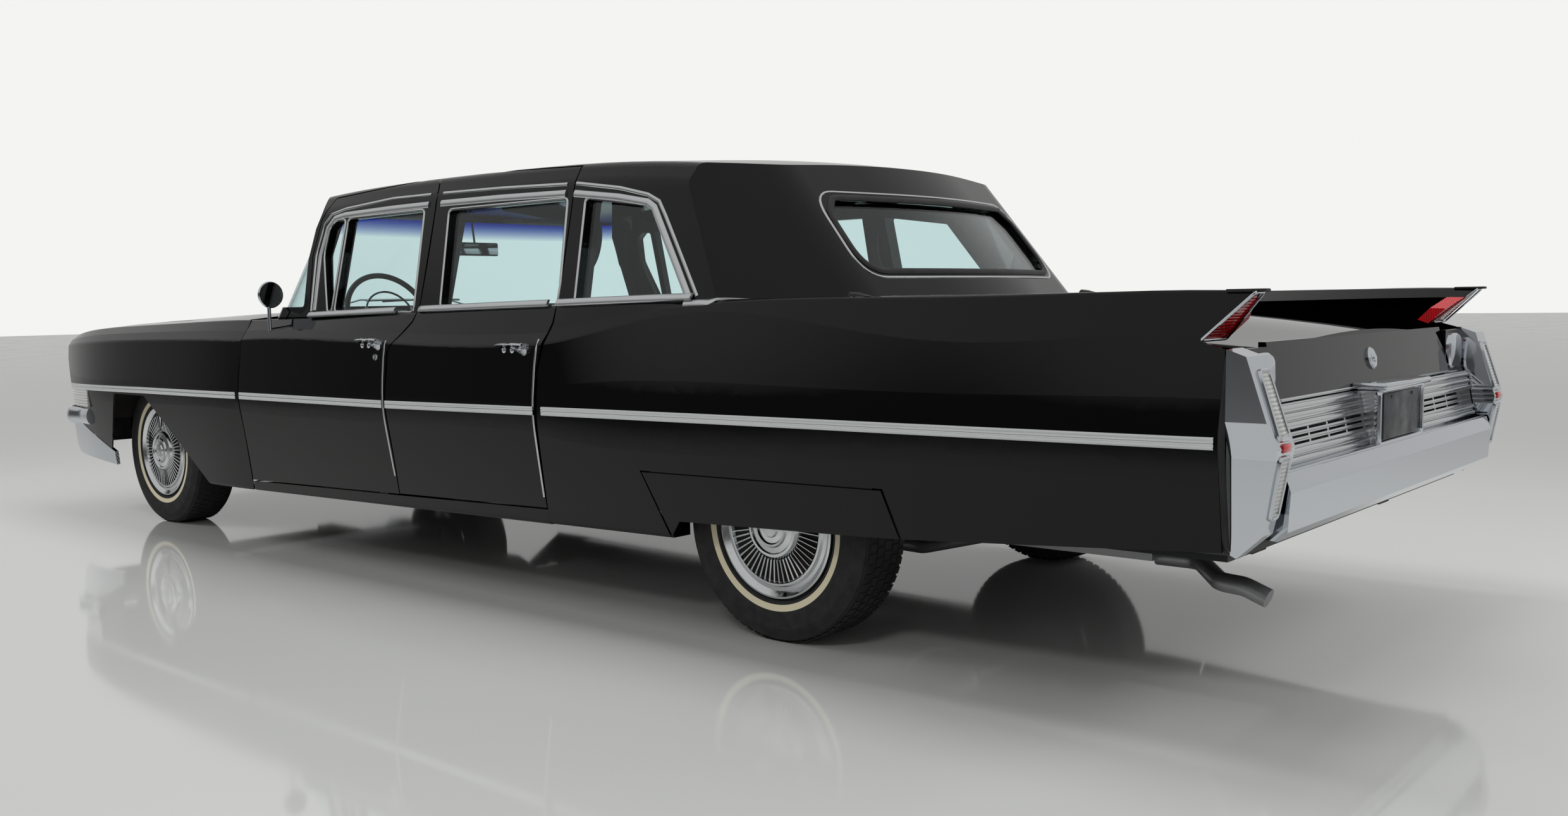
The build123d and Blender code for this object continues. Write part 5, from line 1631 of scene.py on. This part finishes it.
    def wiper(self, side: Side) -> None:
        """Wiper arm and blade, parked along the windscreen's foot.

        Args:
            side: the side of the car.
        """
        s = side.value
        cowl = Surface(self.nodes, ["cowl", "hood"])
        foot = cowl.hit(Vector((1.500, s * 0.42, 1.6)), Vector((0, 0, -1)))
        if not foot:
            return
        base = foot[0]
        screen = Surface(self.nodes, ["windshield", "roof_shell", "cowl"])
        tip = screen.hit(Vector((2.5, s * 0.06, base.z + 0.060)), Vector((-1, 0, 0)))
        far = screen.hit(Vector((2.5, s * -0.16, base.z + 0.052)), Vector((-1, 0, 0)))
        near = screen.hit(Vector((2.5, s * 0.26, base.z + 0.056)), Vector((-1, 0, 0)))
        if not (tip and far and near):
            return
        mesh = bmesh.new()
        add_spun(mesh, ((0.0001, 0.020), (0.010, 0.018), (0.014, 0.0), (0.014, -0.004)), tuple(base),
                 (0, 0, 1), 20)
        arm = [base + Vector((0, 0, 0.016)), base.lerp(tip[0], 0.5) + Vector((0.03, 0, 0.03)),
               tip[0] + Vector((0.014, 0, 0.0))]
        arm = resampled(arm, 0.05)
        add_swept(mesh, arm, [Vector((0, 0, 1))] * len(arm), round_section(0.004, 8))
        blade = [near[0] + Vector((0.007, 0, 0)), tip[0] + Vector((0.007, 0, 0)),
                 far[0] + Vector((0.007, 0, 0))]
        blade = resampled(blade, 0.05)
        add_swept(mesh, blade, [Vector((1, 0, 0))] * len(blade), round_section(0.005, 8))
        new_piece("wiper_" + side.word, mesh, BRIGHT, "body")


@dataclass
class BenchSeat:
    """One bench: a channelled cushion and back over a plain base, in charcoal leather."""

    name: str
    node: str
    cushion: tuple[Point, Point]
    back_foot: Pair
    back_top: Pair
    back_thick: float
    half_width: float = 0.690

    def build(self) -> None:
        """Build the base, the cushion and the back, and hide the plain solid."""
        cushion = self.pad(self.name + "_cushion", self.cushion, Matrix.Identity(4))
        back = self.back()
        base = bmesh.new()
        low, high = self.cushion
        for y0, y1 in ((-self.half_width + 0.01, -0.168), (0.168, self.half_width - 0.01)):
            add_block(base, (low[0] + 0.03, y0, 0.352), (high[0] - 0.03, y1, low[2] + 0.01), 0.01, 2)
        plinth = new_piece(self.name + "_base", base, SEAT_HIDE, "body")
        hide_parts(self.node)

    def pad(self, name: str, limits: tuple[Point, Point], frame: Matrix) -> bpy.types.Object:
        """A crowned pad with pulled-in sides and sewn channels that run fore and aft.

        Args:
            name: the piece's name.
            limits: lowest and highest corner before it is turned.
            frame: how it is turned into place.

        Returns:
            The piece.
        """
        low, high = limits
        mesh = bmesh.new()
        add_block(mesh, low, high)
        size = [h - l for l, h in zip(low, high)]
        bmesh.ops.subdivide_edges(mesh,
                                  edges=[e for e in mesh.edges
                                         if abs(e.verts[0].co.y - e.verts[1].co.y) > 0.1],
                                  cuts=46, use_grid_fill=True)
        bmesh.ops.subdivide_edges(mesh,
                                  edges=[e for e in mesh.edges
                                         if abs(e.verts[0].co.x - e.verts[1].co.x) > 0.05],
                                  cuts=13, use_grid_fill=True)
        bmesh.ops.subdivide_edges(mesh,
                                  edges=[e for e in mesh.edges
                                         if abs(e.verts[0].co.z - e.verts[1].co.z) > 0.05],
                                  cuts=5, use_grid_fill=True)
        middle = [(l + h) / 2 for l, h in zip(low, high)]
        for vert in mesh.verts:
            u, v, w = ((c - m) / (s / 2) for c, m, s in zip(vert.co, middle, size))
            edge_x, edge_y = 1 - abs(u) ** 4, 1 - abs(v) ** 10
            top = max(0.0, w)
            vert.co.z -= top * 0.045 * (1 - edge_x * edge_y)
            channel = abs(math.cos(vert.co.y * math.pi / 0.118))
            vert.co.z -= top * 0.012 * (1 - channel ** 0.6) * edge_x
            pull = 0.014 * (1 - w * w) if w < 0.99 else 0.0
            vert.co.x -= math.copysign(0.012 - pull, u) * (abs(u) > 0.99)
            vert.co.y -= math.copysign(0.012 - pull, v) * (abs(v) > 0.99)
        bmesh.ops.transform(mesh, matrix=frame, verts=mesh.verts)
        return new_piece(name, mesh, SEAT_HIDE, "body", 60.0)

    def back(self) -> bpy.types.Object:
        """The back: a pad of the same make, leaned to its slope.

        Returns:
            The back.
        """
        foot, top = Vector((self.back_foot[0], 0, self.back_foot[1])), Vector((self.back_top[0], 0,
                                                                               self.back_top[1]))
        up = (top - foot).normalized()
        out = Vector((0, 1, 0)).cross(up)
        if out.x < 0:
            out = -out
        length = (top - foot).length
        side = up.cross(out) * -1
        frame = Matrix((-up, side, out)).transposed().to_4x4()
        if frame.determinant() < 0:
            frame = Matrix((-up, -side, out)).transposed().to_4x4()
        frame = Matrix.Translation((foot + top) / 2) @ frame
        limits = ((-length / 2, -self.half_width, -self.back_thick / 2),
                  (length / 2, self.half_width, self.back_thick / 2))
        return self.pad(self.name + "_back", limits, frame)


@dataclass
class Cabin:
    """Interior: benches, door cards, assist straps, visors, mirror, steering rim and dash details."""

    nodes: dict[str, bpy.types.Object]

    def build(self) -> None:
        """Furnish the cabin."""
        BenchSeat("front_bench", "front_seat", ((0.130, -0.690, 0.480), (0.600, 0.690, 0.640)),
                  (0.090, 0.560), (-0.005, 1.000), 0.130).build()
        BenchSeat("rear_bench", "rear_seat", ((-1.120, -0.690, 0.480), (-0.560, 0.690, 0.635)),
                  (-1.120, 0.560), (-1.255, 1.000), 0.130).build()
        for side in Side:
            for stem, x0, x1 in (("door_front", 0.165, 1.060), ("door_rear", -0.640, 0.060)):
                self.card(stem, side, x0, x1)
            self.strap(side)
            self.visor(side)
        self.mirror()
        self.rim()
        self.dials()

    def card(self, stem: str, side: Side, x0: float, x1: float) -> None:
        """Padded door card with an arm rest and a bright pull, on the door's inner face.

        Args:
            stem: the panel's name without its side.
            side: the side of the car.
            x0: x of the card's rear edge.
            x1: x of its front edge.
        """
        s = side.value
        body = "%s_%s" % (stem, side.word)
        inner = Surface(self.nodes, [body])
        found = inner.hit(Vector(((x0 + x1) / 2, 0.0, 0.62)), Vector((0, s, 0)))
        if not found:
            return
        y = abs(found[0].y)
        mesh = bmesh.new()
        add_block(mesh, (x0, min(s * (y - 0.008), s * y), 0.400), (x1, max(s * (y - 0.008), s * y), 0.860),
                  0.004, 2)
        add_block(mesh, (x0 + 0.06, min(s * (y - 0.052), s * (y - 0.006)), 0.640),
                  (x0 + 0.42, max(s * (y - 0.052), s * (y - 0.006)), 0.690),
                  0.016, 4)
        new_piece("door_card_%s" % body, mesh, DOOR_HIDE, body)
        pull = bmesh.new()
        add_spun(pull, ((0.0001, 0.012), (0.016, 0.011), (0.019, 0.004), (0.019, -0.001)),
                 (x0 + 0.20, s * (y - 0.008), 0.560), (0, -s, 0), 20)
        add_block(pull, (x0 + 0.195, min(s * (y - 0.024), s * (y - 0.014)), 0.552),
                  (x0 + 0.275, max(s * (y - 0.024), s * (y - 0.014)), 0.568), 0.004, 2)
        new_piece("window_winder_%s" % body, pull, CHROME, body)

    def strap(self, side: Side) -> None:
        """Soft assist strap on the pillar behind the rear door.

        Args:
            side: the side of the car.
        """
        s = side.value
        roof = Surface(self.nodes, ["roof_shell"])
        rows = [roof.hit(Vector((-0.755, 0.0, z)), Vector((0, s, 0))) for z in (1.300, 1.080)]
        if not all(rows):
            return
        top, low = rows[0][0], rows[1][0]
        path = [top + Vector((0, -s * 0.004, 0)), top.lerp(low, 0.3) + Vector((0, -s * 0.045, 0)),
                top.lerp(low, 0.7) + Vector((0, -s * 0.045, 0)), low + Vector((0, -s * 0.004, 0))]
        line = resampled([tuple(p) for p in rounded([tuple(p) for p in path], 0.05, closed=False)], 0.02)
        mesh = bmesh.new()
        section = [(-0.004, -0.016), (0.003, -0.016), (0.004, -0.012), (0.004, 0.012), (0.003, 0.016),
                   (-0.004, 0.016)]
        add_swept(mesh, line, [Vector((0, -s, 0.0))] * len(line), section)
        new_piece("assist_strap_" + side.word, mesh, DOOR_HIDE, "body")

    def visor(self, side: Side) -> None:
        """Padded sun visor folded up against the roof's header.

        Args:
            side: the side of the car.
        """
        s = side.value
        roof = Surface(self.nodes, ["roof_shell"])
        found = roof.hit(Vector((0.860, s * 0.36, 1.20)), Vector((0, 0, 1)))
        z = (found[0].z if found else 1.40) - 0.012
        mesh = bmesh.new()
        add_block(mesh, (0.790, s * 0.36 - 0.20, z - 0.022), (0.930, s * 0.36 + 0.20, z - 0.002), 0.009, 4)
        piece = new_piece("sun_visor_" + side.word, mesh, HEADLINER, "body")

    def mirror(self) -> None:
        """Inside mirror on a stem from the header."""
        mesh = bmesh.new()
        add_block(mesh, (0.915, -0.125, 1.222), (0.932, 0.125, 1.282), 0.008, 4)
        roof = Surface(self.nodes, ["roof_shell", "windshield"])
        found = roof.hit(Vector((0.930, 0.0, 1.290)), Vector((0.15, 0, 1)).normalized())
        top = found[0] if found else Vector((0.95, 0, 1.42))
        stem = resampled([(0.924, 0.0, 1.255), tuple(top)], 0.03)
        add_swept(mesh, stem, [Vector((-1, 0, 0))] * len(stem), round_section(0.005, 10))
        new_piece("inside_mirror_head", mesh, CHROME, "body")

    def rim(self) -> None:
        """Bright horn ring inside the steering rim, riding with it."""
        centre = Vector((0.985, 0.420, 0.950))
        axis = Vector((-0.92, 0.0, 0.39)).normalized()
        mesh = bmesh.new()
        ring = [(0.118 + 0.0045 * math.cos(math.tau * i / 10), 0.012 + 0.0045 * math.sin(math.tau * i / 10))
                for i in range(11)]
        add_spun(mesh, ring, tuple(centre), tuple(axis), 56)
        add_spun(mesh, ((0.0001, 0.026), (0.022, 0.024), (0.030, 0.016), (0.031, 0.012)), tuple(centre),
                 tuple(axis), 32)
        new_piece("horn_ring", mesh, CHROME, "steering_wheel")

    def dials(self) -> None:
        """Strip speedometer hood, knobs and a bright bead along the dash."""
        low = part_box("dashboard")[0]
        mesh = bmesh.new()
        add_block(mesh, (low.x - 0.006, 0.250, 0.838), (low.x + 0.020, 0.590, 0.900), 0.008, 3)
        new_piece("speedometer_hood", mesh, DASH_HIDE, "body")
        beads = bmesh.new()
        add_block(beads, (low.x - 0.004, -0.620, 0.822), (low.x + 0.014, 0.640, 0.832), 0.003, 2)
        for y in (-0.30, -0.20, -0.10, 0.02, 0.12, 0.20):
            add_spun(beads,
                     ((0.0001, 0.016), (0.010, 0.015), (0.012, 0.010), (0.006, 0.006), (0.006, -0.012)),
                     (low.x + 0.016, y, 0.790),
                     (-1, 0, 0), 20)
        new_piece("dash_bead_and_knobs", beads, CHROME, "body")


def main() -> None:
    """Load the frame and build every sub-assembly in order."""
    logging.basicConfig(level=logging.INFO, format="%(message)s")
    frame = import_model()
    nodes = frame["nodes"]
    Studio().build()
    Dressing(nodes).build()
    for side in Side:
        for end, axle_x in (("front", 2.212), ("rear", -1.591)):
            WheelCover(end, side, axle_x).build()
            TyreTread(end, side, axle_x).build()
        SideTrim(nodes, side).build()
        FinLamp(nodes, side).build()
        EndPod(side).build()
        PodSeal(side).build()
        RoofScoop(nodes, side).build()
    Glazing(nodes).build()
    TailPanel().build()
    Nose(nodes).build()
    Cabin(nodes).build()


if __name__ == "__main__":
    main()
